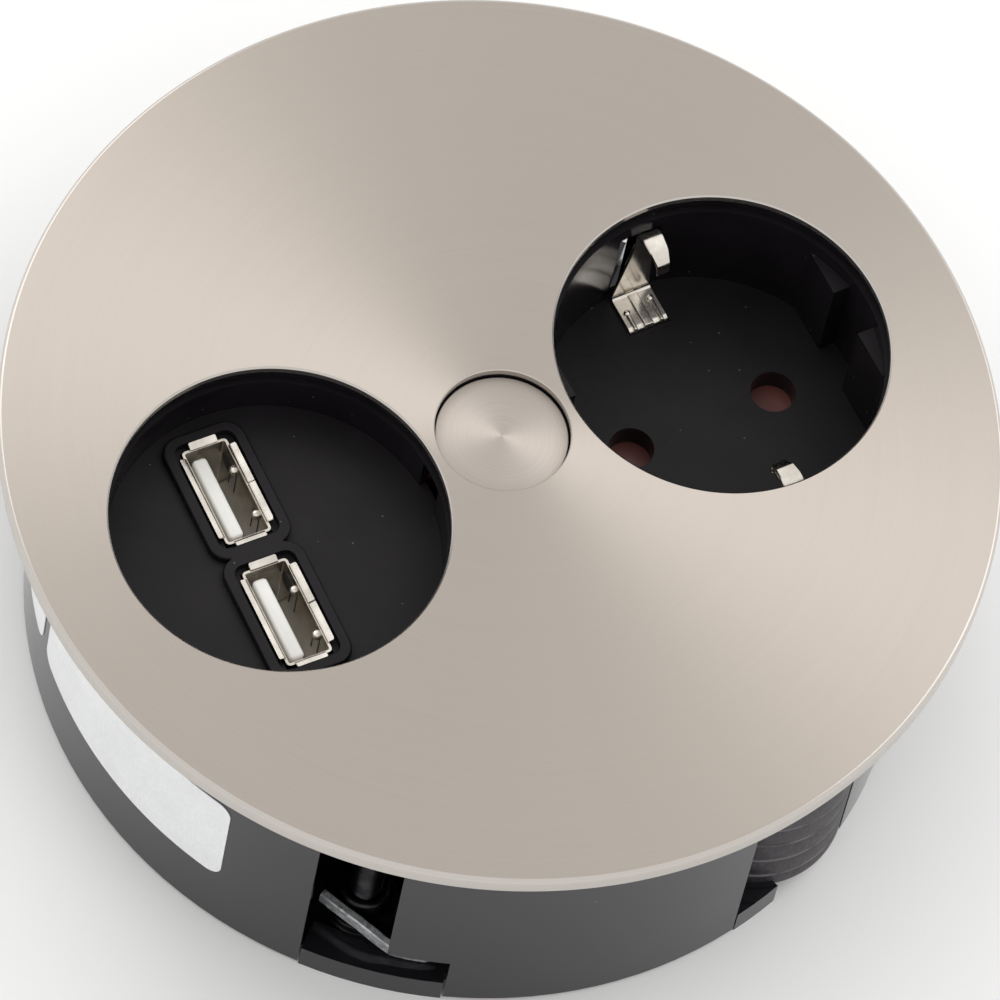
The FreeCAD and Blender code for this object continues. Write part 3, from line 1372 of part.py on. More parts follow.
# Wires: straight runs joined by tangent arcs, each as large as its two runs allow
def wire_shape(points, radius):
    spots = [FreeCAD.Vector(*point) for point in points]
    edges = []
    start = spots[0]
    length = 0
    for before, corner, after in zip(spots, spots[1:], spots[2:]):
        first = corner - before
        second = after - corner
        setback = 0.45 * min(first.Length, second.Length)
        enter = corner - first.normalize() * setback
        leave = corner + second.normalize() * setback
        middle_way = (enter + leave) * 0.5 - corner
        turn = (corner - enter).getAngle(leave - corner)
        bend = setback / math.tan(turn / 2)
        centre = corner + middle_way.normalize() * (bend / math.cos(turn / 2))
        middle = centre + (corner - centre).normalize() * bend
        edges.append(Part.LineSegment(start, enter).toShape())
        edges.append(Part.Arc(enter, middle, leave).toShape())
        start = leave
    edges.append(Part.LineSegment(start, spots[-1]).toShape())
    path = Part.Wire(edges)
    tangent = (spots[1] - spots[0]).normalize()
    ring = Part.Wire([Part.Circle(spots[0], tangent, radius).toShape()])
    tube = path.makePipeShell([ring], True, False)
    return tube


def make_wires():
    radius = D.wire_radius.value
    mains_x = D.opening_pitch.value
    pin = pin_x.value
    tail_z = (tower_bottom - D.contact_tail_length / 2).value - 0.3
    exit_y = (D.terminal_y + D.terminal_width / 2).value
    pole = (D.terminal_length / 3).value
    bore_z = -(D.terminal_drop + D.terminal_height / 2).value
    middle = D.terminal_x.value
    tail = (D.contact_tail_width / 2).value
    under = block_under.value - 1.9
    routes = {
        "earth_wire": [(middle + pole, exit_y, bore_z), (middle + pole, exit_y + 5, bore_z),
                       (4, -15, bore_z - 2), (12, -14.5, under), (mains_x - 8, -17, under),
                       (mains_x - 1, -12.5, under), (mains_x, -6, under)],
        "neutral_wire": [(middle, exit_y, bore_z), (middle, exit_y + 4.5, bore_z), (0, -17, bore_z - 8),
                         (8, -12, tail_z), (mains_x - pin, -9, tail_z), (mains_x - pin, -tail - 0.1, tail_z)],
        "live_wire": [(middle - pole, exit_y, bore_z), (middle - pole, exit_y + 4, bore_z - 1),
                      (-8, -18, bore_z - 10), (2, -17, tail_z + 0.6), (10, -15, tail_z),
                      (mains_x + pin - 3, -12, tail_z), (mains_x + pin, -8, tail_z),
                      (mains_x + pin, -tail - 0.1, tail_z)],
    }
    for label, points in routes.items():
        wire = doc.addObject("Part::Feature", label)
        wire.Shape = wire_shape(points, radius)
        keep(label, wire)
    # Two thinner wires feed the charger board from the contacts' tails
    board_z = board_under.value
    feeds = [[(-23, 14, board_z), (-23, 14, board_z - 6), (-14, 17, tail_z + 6), (0, 15, tail_z + 1),
              (12, 11, tail_z), (mains_x - pin, 7, tail_z), (mains_x - pin, tail + 0.1, tail_z)],
             [(-19, 15, board_z), (-19, 15, board_z - 4), (-8, 20, tail_z + 9), (8, 18, tail_z + 2),
              (24, 15.5, tail_z), (mains_x + pin - 4, 12, tail_z), (mains_x + pin, 7, tail_z),
              (mains_x + pin, tail + 0.1, tail_z)]]
    feed = doc.addObject("Part::Feature", "charger_wires")
    feed.Shape = Part.makeCompound([wire_shape(points, D.feed_wire_radius.value) for points in feeds])
    keep("charger_wires", feed)


make_cover_plate()
make_cover_carrier()
make_pivot()
make_housing()
make_base()
make_mains_insert()
make_contact_block()
make_pin_contact("live_contact", 1)
make_pin_contact("neutral_contact", -1)
make_earth_contact()
make_shutter()
make_charger_bezel()
make_ports()
make_charger_board()
make_terminals()
make_gland()
make_clamp()
make_claws()
make_labels()
make_wires()

doc.recompute()
failed = [thing.Name for thing in doc.Objects if "Invalid" in thing.State or "Error" in thing.State]
if failed:
    raise SystemExit(f"failed objects: {failed}")
for label, thing in parts.items():
    if thing.Shape.isNull() or not thing.Shape.isValid() or not thing.Shape.Solids:
        raise SystemExit(f"{label} has no valid solid")

os.makedirs("parts", exist_ok=True)
for label, thing in parts.items():
    thing.Shape.exportStep(f"parts/{label}.step")
    box = thing.Shape.BoundBox
    solids = len(thing.Shape.Solids)
    print(f"{label}: {solids} solids, {thing.Shape.Volume:.1f} mm3, z {box.ZMin:.2f} to {box.ZMax:.2f}")
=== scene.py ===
"""Recessed desk socket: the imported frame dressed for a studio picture."""

import math

import bmesh
import bpy
import numpy as np
from mathutils import Matrix, Vector
from mathutils.geometry import tessellate_polygon


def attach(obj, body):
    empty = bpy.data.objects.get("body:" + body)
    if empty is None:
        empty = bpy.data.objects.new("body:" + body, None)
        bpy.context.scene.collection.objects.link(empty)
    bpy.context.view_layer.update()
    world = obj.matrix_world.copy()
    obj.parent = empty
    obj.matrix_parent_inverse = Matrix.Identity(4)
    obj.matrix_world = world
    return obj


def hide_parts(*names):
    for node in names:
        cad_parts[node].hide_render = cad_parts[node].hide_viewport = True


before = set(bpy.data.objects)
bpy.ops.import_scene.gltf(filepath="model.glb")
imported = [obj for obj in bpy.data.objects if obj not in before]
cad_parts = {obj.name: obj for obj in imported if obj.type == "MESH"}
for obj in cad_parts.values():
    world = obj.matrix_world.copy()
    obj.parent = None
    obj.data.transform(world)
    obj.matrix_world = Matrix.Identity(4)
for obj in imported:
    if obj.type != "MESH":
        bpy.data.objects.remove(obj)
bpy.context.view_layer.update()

MM = 0.001
TURN = 2 * math.pi

# Sizes and places shared with the frame, in millimetres and degrees
PLATE_RADIUS = 58.5
PLATE_TOP = 2.6
PLATE_UNDER = 1.6
WELL_OPENING = 19.8
CAP_OPENING = 7.96
CAP_RADIUS = 7.8
UNIT_BOTTOM = -39.8

MAINS_X = 28.9
MAINS_FLOOR = -15.7
PIN_REACH = 9.5
CONTACT_RUN = -35.5

CHARGER_X = -28.9
CHARGER_TURN = -2.2
PORT_X = -1.86
PORT_Y = 0.73
PORT_PITCH = 17.0
PORT_HALF_X = 2.56
PORT_HALF_Y = 6.25
PORT_METAL = 0.3
PORT_MOUTH = -5.4
PORT_BOTTOM = -18.9

CLAW_POLAR = 44.5
CLAW_ANGLE = 46.7
SCREW_RADIUS = 2.0
SCREW_PITCH = 0.7

GLAND_POLAR = 42.2
GLAND_ANGLE = 294.9
GLAND_LOW = -37.8
GLAND_RINGS = 5
GLAND_RING_PITCH = 3.8


# Finishes: sums on node outputs are written as plain arithmetic
class Signal:
    """One output of a finish's nodes."""

    def __init__(self, finish, socket):
        self.finish = finish
        self.socket = socket

    def math(self, operation, *values):
        return self.finish.node("ShaderNodeMath", {"operation": operation}, dict(enumerate(values)))

    def floor(self):
        return self.math("FLOOR", self)

    def __add__(self, other):
        return self.math("ADD", self, other)

    def __radd__(self, other):
        return self.math("ADD", other, self)

    def __sub__(self, other):
        return self.math("SUBTRACT", self, other)

    def __rsub__(self, other):
        return self.math("SUBTRACT", other, self)

    def __mul__(self, other):
        return self.math("MULTIPLY", self, other)

    def __rmul__(self, other):
        return self.math("MULTIPLY", other, self)

    def __truediv__(self, other):
        return self.math("DIVIDE", self, other)

    def __gt__(self, other):
        return self.math("GREATER_THAN", self, other)

    def __lt__(self, other):
        return self.math("LESS_THAN", self, other)


class Finish:
    """A material built up from nodes round one Principled shader."""

    def __init__(self, name, **fixed):
        self.material = bpy.data.materials.new(name)
        self.material.use_nodes = True
        self.tree = self.material.node_tree
        self.shader = next(n for n in self.tree.nodes if n.type == "BSDF_PRINCIPLED")
        for words, value in fixed.items():
            name = words.replace("_", " ").title().replace("Ior", "IOR")
            self.shader.inputs[name].default_value = value

    def node(self, kind, settings=None, sockets=None, output=0):
        """Add a node: its settings first, then the values or links of its sockets."""
        made = self.tree.nodes.new(kind)
        for name, value in (settings or {}).items():
            setattr(made, name, value)
        for name, value in (sockets or {}).items():
            if isinstance(value, Signal):
                self.tree.links.new(value.socket, made.inputs[name])
            else:
                made.inputs[name].default_value = value
        return Signal(self, made.outputs[output])

    def feed(self, name, signal):
        self.tree.links.new(signal.socket, self.shader.inputs[name])

    @property
    def place(self):
        """The point on the piece, in metres, moving with it."""
        return self.node("ShaderNodeTexCoord", output="Object")

    @property
    def upward(self):
        """1 on faces that look straight up, 0 on upright ones."""
        return self.parts(self.node("ShaderNodeTexCoord", output="Normal"))[2]

    def vector(self, operation, *values, output=0):
        return self.node("ShaderNodeVectorMath", {"operation": operation}, dict(enumerate(values)), output)

    def parts(self, vector):
        split = self.node("ShaderNodeSeparateXYZ", None, {0: vector}).socket.node
        return [Signal(self, socket) for socket in split.outputs]

    def noise(self, grain, detail=2.0, stretch=(1, 1, 1), rough=0.5):
        """Soft noise whose lumps are about grain millimetres across."""
        return self.node("ShaderNodeTexNoise", None, {
            "Vector": self.vector("MULTIPLY", self.place, stretch), "Scale": 1 / (grain * MM),
            "Detail": detail, "Roughness": rough})

    def cells(self, grain, output="Distance"):
        return self.node("ShaderNodeTexVoronoi", None, {"Vector": self.place, "Scale": 1 / (grain * MM)}, output)

    def between(self, signal, low, high, new_low=0.0, new_high=1.0):
        """The signal's range from low to high, moved to a new one and held there."""
        return self.node("ShaderNodeMapRange", {"clamp": True}, {
            0: signal, 1: low, 2: high, 3: new_low, 4: new_high})

    def colours(self, share, first, second):
        """The first colour at 0, the second at 1."""
        return self.node("ShaderNodeMix", {"data_type": "RGBA"}, {0: share, 6: colour(first), 7: colour(second)}, 2)

    def relief(self, height, depth):
        """Bump of a depth in millimetres."""
        return self.node("ShaderNodeBump", None, {"Height": height, "Distance": depth * MM, "Strength": 1.0})

    def specks(self, grain, share, size):
        """1 in a few scattered dots, 0 elsewhere."""
        near = self.cells(grain) < size
        chosen = self.parts(self.cells(grain, "Color"))[0] < share
        return near * chosen


def colour(value):
    return value if isinstance(value, Signal) else (*value, 1.0)


def ring_lines(finish, across, along):
    """Fine lines that run round the upright axis: a line's width, and how long it runs, in millimetres."""
    middle_radius = 30
    x, y, _ = finish.parts(finish.place)
    flat = finish.node("ShaderNodeCombineXYZ", None, {0: x, 1: y})
    radius = finish.vector("LENGTH", flat, output="Value")
    way_x, way_y, _ = finish.parts(finish.vector("NORMALIZE", flat))
    stretched = finish.node("ShaderNodeCombineXYZ", None, {
        0: radius / (across * MM), 1: way_x * (middle_radius / along), 2: way_y * (middle_radius / along)})
    return finish.node("ShaderNodeTexNoise", None, {"Vector": stretched, "Scale": 1.0, "Detail": 3.0})


def make_brushed_plate():
    """Brushed stainless: hair-fine lines round the middle, and polished edges below the flat top."""
    finish = Finish("brushed_plate_finish", metallic=1.0, anisotropic=0.9, anisotropic_rotation=0.25)
    lines = ring_lines(finish, 0.045, 16)
    wide = ring_lines(finish, 0.5, 40)
    cloud = finish.noise(34, 3)
    steel = finish.colours(finish.between(lines, 0.3, 0.7), (0.5, 0.447, 0.4), (0.535, 0.482, 0.433))
    steel = finish.colours(finish.between(cloud, 0.35, 0.65, 0.0, 0.3), steel, (0.5, 0.455, 0.412))
    edge = finish.parts(finish.place)[2] < (PLATE_TOP - 0.015) * MM
    finish.feed("Base Color", finish.colours(edge, steel, (0.57, 0.535, 0.5)))
    top_rough = 0.47 + (lines - 0.5) * 0.1 + (wide - 0.5) * 0.05
    finish.feed("Roughness", top_rough * (1 - edge) + 0.24 * edge)
    finish.feed("Normal", finish.relief(lines * (1 - edge), 0.0015))
    return finish.material


def make_spun_cap():
    """Finely turned stainless, as bright as a mirror across its lines."""
    finish = Finish("spun_cap_finish", metallic=1.0, anisotropic=0.75, anisotropic_rotation=0.25)
    lines = ring_lines(finish, 0.05, 60)
    finish.feed("Base Color", finish.colours(finish.between(lines, 0.3, 0.7), (0.48, 0.43, 0.39), (0.54, 0.49, 0.445)))
    finish.feed("Roughness", 0.5 + (lines - 0.5) * 0.08)
    finish.feed("Normal", finish.relief(lines, 0.0015))
    return finish.material


def make_metal(name, dark, light, rough, grain):
    """Plated or pressed metal: faint drawing marks one way and a slow change of tone."""
    finish = Finish(name, metallic=1.0)
    marks = finish.noise(grain, 4, stretch=(1, 1, 0.12))
    tone = finish.noise(grain * 9, 2)
    finish.feed("Base Color", finish.colours(finish.between(tone, 0.35, 0.65), dark, light))
    finish.feed("Roughness", rough + (marks - 0.5) * 0.22 + (tone - 0.5) * 0.1)
    finish.feed("Normal", finish.relief(marks, 0.006))
    return finish.material


def make_galvanised():
    """Zinc with spangle, rubbed bare in places."""
    finish = Finish("galvanised_finish", metallic=0.55)
    spangle = finish.parts(finish.cells(0.7, "Color"))[0]
    scratches = finish.noise(0.22, 4, stretch=(1, 1, 0.2))
    bare = finish.between(finish.noise(1.2, 4, rough=0.7), 0.56, 0.66)
    zinc = finish.colours(spangle, (0.32, 0.34, 0.35), (0.62, 0.64, 0.65))
    finish.feed("Base Color", finish.colours(bare * 0.55, zinc, (0.2, 0.2, 0.2)))
    finish.feed("Roughness", 0.36 + spangle * 0.14 + bare * 0.2 + (scratches - 0.5) * 0.2)
    finish.feed("Normal", finish.relief(scratches, 0.03))
    return finish.material


def make_moulded(name, dark, light, rough, grain, depth, dust=0.0, dust_tone=(0.3, 0.3, 0.3), wall_rough=None,
                 **fixed):
    """Moulded plastic or rubber: eroded grain, a slow change of tone, rubbed patches and a little dust.

    With wall_rough, only faces that look up have the grain, and upright ones are smooth.
    """
    finish = Finish(name, **fixed)
    fine = finish.noise(grain, 3)
    tone = finish.noise(grain * 60, 3)
    rubbed = finish.between(finish.noise(9, 4, rough=0.65), 0.45, 0.7)
    body = finish.colours(finish.between(tone, 0.35, 0.65), dark, light)
    if dust:
        body = finish.colours(finish.specks(1.7, dust, 0.06) * 0.8, body, dust_tone)
    finish.feed("Base Color", body)
    gloss = rough + (fine - 0.5) * 0.12 + rubbed * 0.06
    if wall_rough is None:
        finish.feed("Roughness", gloss)
        finish.feed("Normal", finish.relief(fine, depth))
        return finish.material
    flat = finish.between(finish.upward, 0.5, 0.9)
    finish.feed("Roughness", gloss * flat + (wall_rough + rubbed * 0.05) * (1 - flat))
    finish.feed("Normal", finish.relief(fine * flat, depth))
    return finish.material


def make_wire_sleeve(name, dark, light):
    return make_moulded(name, dark, light, rough=0.35, grain=0.3, depth=0.008)


def make_board():
    """Solder mask over copper tracks, with bare pads."""
    finish = Finish("board_finish")
    x, y, _ = finish.parts(finish.place)
    tracks = finish.node("ShaderNodeTexBrick", {"offset": 0.37, "squash": 0.6, "squash_frequency": 3}, {
        "Vector": finish.place, "Scale": 1 / (9 * MM), "Mortar Size": 0.035, "Mortar Smooth": 0.0}, "Fac")
    pads = finish.cells(3.4) < 0.16
    mask = finish.colours(tracks, (0.012, 0.09, 0.045), (0.03, 0.17, 0.08))
    mask = finish.colours(finish.between(finish.noise(0.5, 2), 0.3, 0.7, 0.0, 0.3), mask, (0.01, 0.07, 0.035))
    finish.feed("Base Color", finish.colours(pads, mask, (0.62, 0.6, 0.56)))
    finish.feed("Metallic", pads * 0.9)
    finish.feed("Roughness", 0.32 + (x * y) * 10 + pads * 0.1)
    finish.feed("Normal", finish.relief(tracks + pads, 0.03))
    return finish.material


def make_gland_rubber():
    """Purple-black rubber with a woven-looking grain, and a painted highlight on the ledges where one ring meets the
    next.
    """
    finish = Finish("gland_finish", ior=1.5)
    grain = finish.noise(0.45, 4, stretch=(1, 1, 0.35), rough=0.7)
    fine = finish.noise(0.12, 2)
    rings = (finish.parts(finish.place)[2] - GLAND_LOW * MM) / (GLAND_RING_PITCH * MM)
    height = rings - rings.floor()
    # Painted highlight: a lighter, patchy band on each upward ledge between rings, where light catches it
    painted_ledge_highlight = finish.between(finish.noise(3, 3), 0.35, 0.6, 0.35, 1.0) * (height > 0.87) * (height < 0.925)
    body = finish.colours(finish.between(grain, 0.35, 0.7), (0.008, 0.006, 0.0085), (0.046, 0.039, 0.047))
    body = finish.colours(finish.specks(1.1, 0.35, 0.07) * 0.6, body, (0.24, 0.23, 0.24))
    finish.feed("Base Color", finish.colours(painted_ledge_highlight, body, (0.17, 0.16, 0.17)))
    finish.feed("Roughness", 0.5 + (fine - 0.5) * 0.2)
    finish.feed("Normal", finish.relief(grain, 0.05))
    return finish.material


def make_label():
    """Silver-white film: pressed fibres, a faint sheen and slightly greyer clouds."""
    finish = Finish("label_finish", specular_ior_level=0.4)
    fibres = finish.noise(0.35, 5, stretch=(1, 1, 0.4), rough=0.6)
    cloud = finish.noise(6, 3)
    film = finish.colours(finish.between(fibres, 0.3, 0.7), (0.78, 0.79, 0.8), (0.87, 0.876, 0.885))
    finish.feed("Base Color", finish.colours(finish.between(cloud, 0.4, 0.8, 0.0, 0.4), film, (0.74, 0.745, 0.755)))
    finish.feed("Metallic", finish.between(cloud, 0.3, 0.7, 0.15, 0.3))
    finish.feed("Roughness", 0.42 + (fibres - 0.5) * 0.2)
    finish.feed("Normal", finish.relief(fibres, 0.01))
    return finish.material


FINISHES = {
    "brushed_plate": make_brushed_plate(),
    "polished_cap": make_spun_cap(),
    "gloss_black": make_moulded(
        "gloss_black_finish", (0.0082, 0.0078, 0.0092), (0.0115, 0.0108, 0.0128), rough=0.1, grain=0.9, depth=0.004,
        dust=0.05, ior=1.53, specular_tint=(0.95, 0.93, 1.0, 1.0)),
    "matte_black": make_moulded(
        "matte_black_finish", (0.0066, 0.0054, 0.0068), (0.0098, 0.0082, 0.01), rough=0.46, grain=0.14, depth=0.02,
        dust=0.4, dust_tone=(0.12, 0.12, 0.12), wall_rough=0.17, specular_ior_level=0.21),
    "nickel": make_metal("nickel_finish", (0.62, 0.58, 0.52), (0.78, 0.735, 0.67), rough=0.2, grain=0.3),
    "galvanised": make_galvanised(),
    "screw_steel": make_metal("screw_steel_finish", (0.3, 0.3, 0.31), (0.42, 0.42, 0.43), rough=0.3, grain=0.2),
    "black_steel": make_metal("black_steel_finish", (0.02, 0.02, 0.022), (0.045, 0.045, 0.048), rough=0.36, grain=0.2),
    "brass": make_metal("brass_finish", (0.6, 0.44, 0.19), (0.75, 0.58, 0.28), rough=0.24, grain=0.35),
    "shutter_red": make_moulded(
        "shutter_finish", (0.1, 0.026, 0.021), (0.14, 0.04, 0.032), rough=0.42, grain=0.2, depth=0.012),
    "tongue_white": make_moulded(
        "tongue_finish", (0.8, 0.775, 0.73), (0.88, 0.86, 0.815), rough=0.36, grain=0.2, depth=0.006,
        subsurface_weight=0.05),
    "board_green": make_board(),
    # Dark finish of the transformer and chips, also used as painted shade for the port cuts, the port holes and the
    # screws' cross recesses
    "component_dark": make_moulded(
        "component_and_shade_finish", (0.02, 0.02, 0.022), (0.035, 0.035, 0.037), rough=0.5, grain=0.12, depth=0.02),
    "capacitor_sleeve": make_moulded(
        "sleeve_finish", (0.02, 0.03, 0.08), (0.03, 0.045, 0.11), rough=0.2, grain=0.8, depth=0.004),
    "terminal_grey": make_moulded(
        "terminal_finish", (0.5, 0.49, 0.46), (0.57, 0.56, 0.53), rough=0.42, grain=0.2, depth=0.01),
    "gland_rubber": make_gland_rubber(),
    "slip_white": make_moulded(
        "slip_finish", (0.68, 0.68, 0.66), (0.75, 0.75, 0.73), rough=0.35, grain=0.3, depth=0.006),
    "label_silver": make_label(),
    "wire_brown": make_wire_sleeve("brown_wire_finish", (0.09, 0.035, 0.015), (0.12, 0.05, 0.022)),
    "wire_blue": make_wire_sleeve("blue_wire_finish", (0.015, 0.06, 0.24), (0.025, 0.09, 0.32)),
    "wire_green": make_wire_sleeve("green_wire_finish", (0.03, 0.16, 0.03), (0.05, 0.22, 0.05)),
    "wire_red": make_wire_sleeve("red_wire_finish", (0.25, 0.012, 0.012), (0.33, 0.02, 0.02)),
}

NODE_FINISHES = {
    "brushed_plate": ["cover_plate"],
    "polished_cap": ["centre_cap"],
    "gloss_black": ["housing", "base_cover"],
    "matte_black": ["mains_insert", "charger_bezel", "contact_block", "cable_clamp", "cover_carrier"],
    "nickel": ["earth_contact", "port_shell_1", "port_shell_2"],
    "galvanised": ["claw_1", "claw_2"],
    "black_steel": ["claw_nut_1", "claw_nut_2", "claw_screw_1", "claw_screw_2", "screw_clips"],
    "screw_steel": ["pivot_hub", "pivot_screw", "wave_washer", "base_screws", "board_screws",
                    "clamp_screws", "contact_block_screws", "terminal_screws", "shutter_pivot", "shutter_spring"],
    "brass": ["live_contact", "neutral_contact", "port_contacts"],
    "shutter_red": ["shutter"],
    "tongue_white": ["port_tongue_1", "port_tongue_2"],
    "board_green": ["charger_board"],
    "component_dark": ["transformer", "charger_chips"],
    "capacitor_sleeve": ["capacitors"],
    "terminal_grey": ["terminal_block"],
    "gland_rubber": ["cable_gland"],
    "slip_white": ["slip_ring"],
    "label_silver": ["rating_label", "small_label"],
    "wire_brown": ["live_wire"],
    "wire_blue": ["neutral_wire"],
    "wire_green": ["earth_wire"],
    "wire_red": ["charger_wires"],
}
for finish, nodes in NODE_FINISHES.items():
    for node in nodes:
        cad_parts[node].data.materials.clear()
        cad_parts[node].data.materials.append(FINISHES[finish])


# Places: each turns a point of a piece's own frame into the desk frame, in millimetres
def turned(point, angle):
    """The point turned about the upright axis by an angle in degrees."""
    x, y, z = point
    c, s = math.cos(math.radians(angle)), math.sin(math.radians(angle))
    return x * c - y * s, x * s + y * c, z


def as_is(point):
    return point


def at_mains(point):
    return point[0] + MAINS_X, point[1], point[2]


def at_charger(point):
    x, y, z = turned(point, CHARGER_TURN)
    return CHARGER_X + x, y, z


def at_claw(number):
    angle = CLAW_ANGLE + (180 if number == 1 else 0)

    def place(point):
        return turned((point[0] + CLAW_POLAR, point[1], point[2]), angle)
    return place


def at_gland(point):
    middle = turned((GLAND_POLAR, 0, 0), GLAND_ANGLE)
    return point[0] + middle[0], point[1] + middle[1], point[2]


# Forms
def settled(made, finish, body, stands_for):
    """Show a piece in its finish and say what it rides on and what it stands for."""
    bpy.context.scene.collection.objects.link(made)
    made.data.materials.append(FINISHES[finish])
    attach(made, body)
    if stands_for:
        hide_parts(*stands_for)


def piece(name, points, faces, finish, body="root", place=as_is, sharp=38, stands_for=()):
    """A mesh piece of points in millimetres. Edges over an angle in degrees stay sharp."""
    mesh = bpy.data.meshes.new(name)
    mesh.from_pydata([Vector(place(p)) * MM for p in points], [], faces)
    mesh.validate()
    face_outwards(mesh)
    mesh.shade_smooth()
    mesh.set_sharp_from_angle(angle=math.radians(sharp))
    settled(bpy.data.objects.new(name, mesh), finish, body, stands_for)


def face_outwards(mesh):
    work = bmesh.new()
    work.from_mesh(mesh)
    bmesh.ops.recalc_face_normals(work, faces=work.faces)
    work.to_mesh(mesh)
    work.free()


def tube(name, routes, radius, finish, stands_for=()):
    """Insulated wires along their routes."""
    curve = bpy.data.curves.new(name, "CURVE")
    curve.dimensions = "3D"
    curve.bevel_depth = radius * MM
    curve.bevel_resolution = 4
    curve.resolution_u = 12
    curve.use_fill_caps = True
    for points in routes:
        line = curve.splines.new("NURBS")
        line.points.add(len(points) - 1)
        for spot, point in zip(line.points, points):
            spot.co = (*(c * MM for c in point), 1.0)
        line.order_u = 3
        line.use_endpoint_u = True
    settled(bpy.data.objects.new(name, curve), finish, "root", stands_for)


def joined(*groups):
    """Several lists of points and faces as one."""
    points, faces = [], []
    for some_points, some_faces in groups:
        start = len(points)
        points += some_points
        faces += [tuple(i + start for i in face) for face in some_faces]
    return points, faces


def moved(form, change):
    points, faces = form
    return [change(p) for p in points], faces


def shifted(form, x, y, z):
    return moved(form, lambda p: (p[0] + x, p[1] + y, p[2] + z))


def crossed(point):
    """Along x instead of y, and the other way round."""
    x, y, z = point
    return y, x, z


def bends(steps):
    """The angles of a quarter turn."""
    return [math.pi / 2 * k / steps for k in range(steps + 1)]


def eased(corners, radius, steps=4, closed=True):
    """A flat outline or path with its corners rounded. A radius for each corner may be given."""
    most_run = 0.48
    count = len(corners)
    radii = radius if hasattr(radius, "__len__") else [radius] * count
    made = []
    for i in range(count):
        if not closed and i in (0, count - 1):
            made.append(tuple(corners[i]))
            continue
        here = np.array(corners[i], float)
        back = np.array(corners[i - 1], float) - here
        on = np.array(corners[(i + 1) % count], float) - here
        back_length, on_length = np.linalg.norm(back), np.linalg.norm(on)
        back, on = back / back_length, on / on_length
        half = math.acos(max(-1.0, min(1.0, float(back @ on)))) / 2
        nearly_straight = math.cos(half) < 0.02
        if radii[i] <= 0 or nearly_straight:
            made.append(tuple(here))
            continue
        run = min(radii[i] / math.tan(half), most_run * back_length, most_run * on_length)
        bend = run * math.tan(half)
        middle = back + on
        centre = here + middle / np.linalg.norm(middle) * (bend / math.sin(half))
        start, end = here + back * run - centre, here + on * run - centre
        sweep = math.pi - 2 * half
        for step in range(steps + 1):
            share = step / steps
            spot = (start * math.sin((1 - share) * sweep) + end * math.sin(share * sweep)) / math.sin(sweep)
            made.append(tuple(centre + spot))
    return made


def box(half_x, half_y):
    return [(-half_x, -half_y), (half_x, -half_y), (half_x, half_y), (-half_x, half_y)]


def ring(x, y, radius, steps):
    return [(x + radius * math.cos(TURN * k / steps), y + radius * math.sin(TURN * k / steps)) for k in range(steps)]


def arc(radius, start, stop, steps=12):
    """Points round the upright axis, between angles in degrees."""
    angles = [math.radians(start + (stop - start) * k / steps) for k in range(steps + 1)]
    return [(radius * math.cos(a), radius * math.sin(a)) for a in angles]


def spun(outline, steps=96):
    """A closed outline of radii and heights turned round an upright axis."""
    count = len(outline)
    points = [(r * math.cos(TURN * k / steps), r * math.sin(TURN * k / steps), z)
              for k in range(steps) for r, z in outline]
    faces = [(k * count + i, k * count + (i + 1) % count,
              ((k + 1) % steps) * count + (i + 1) % count, ((k + 1) % steps) * count + i)
             for k in range(steps) for i in range(count)]
    return points, faces


def stacked(levels):
    """Closed outlines of one count, each with its height, joined up and closed at both ends."""
    count = len(levels[0][0])
    points = [(x, y, z) for outline, z in levels for x, y in outline]
    faces = [tuple(range(count))[::-1], tuple(range(len(points) - count, len(points)))]
    for level in range(len(levels) - 1):
        low = level * count
        faces += [(low + i, low + (i + 1) % count, low + count + (i + 1) % count, low + count + i)
                  for i in range(count)]
    return points, faces


def sleeve(outer, inner, low, high):
    """A straight open-ended wall between two outlines of one count."""
    count = len(inner)
    loops = [(outer, low), (outer, high), (inner, high), (inner, low)]
    points = [(x, y, z) for outline, z in loops for x, y in outline]
    faces = []
    for level in range(len(loops)):
        a, b = level * count, (level + 1) % len(loops) * count
        faces += [(a + i, a + (i + 1) % count, b + (i + 1) % count, b + i) for i in range(count)]
    return points, faces


def soft_block(x, y, z, corner, ease):
    """A block between pairs of limits, with rounded upright corners and a soft edge round its top."""
    def outline(inset):
        spots = [(x[0] + inset, y[0] + inset), (x[1] - inset, y[0] + inset),
                 (x[1] - inset, y[1] - inset), (x[0] + inset, y[1] - inset)]
        return eased(spots, max(corner - inset, 0.03), 4)
    tops = [(outline(ease * (1 - math.cos(a))), z[1] - ease * (1 - math.sin(a))) for a in bends(4)]
    return stacked([(outline(0), z[0])] + tops)


def threaded(radius, depth, pitch, low, high, steps=20):
    """A screw thread's surface."""
    count = int((high - low) / pitch * steps)
    points, faces = [], []
    for k in range(count + steps + 1):
        a, z = TURN * k / steps, low + pitch * k / steps
        points.append(((radius - depth) * math.cos(a), (radius - depth) * math.sin(a), z))
        points.append((radius * math.cos(a), radius * math.sin(a), z + pitch / 2))
    for k in range(count):
        root, crest, after = 2 * k, 2 * k + 1, 2 * (k + steps)
        faces.append((root, root + 2, crest + 2, crest))
        faces.append((crest, crest + 2, after + 2, after))
    return points, faces


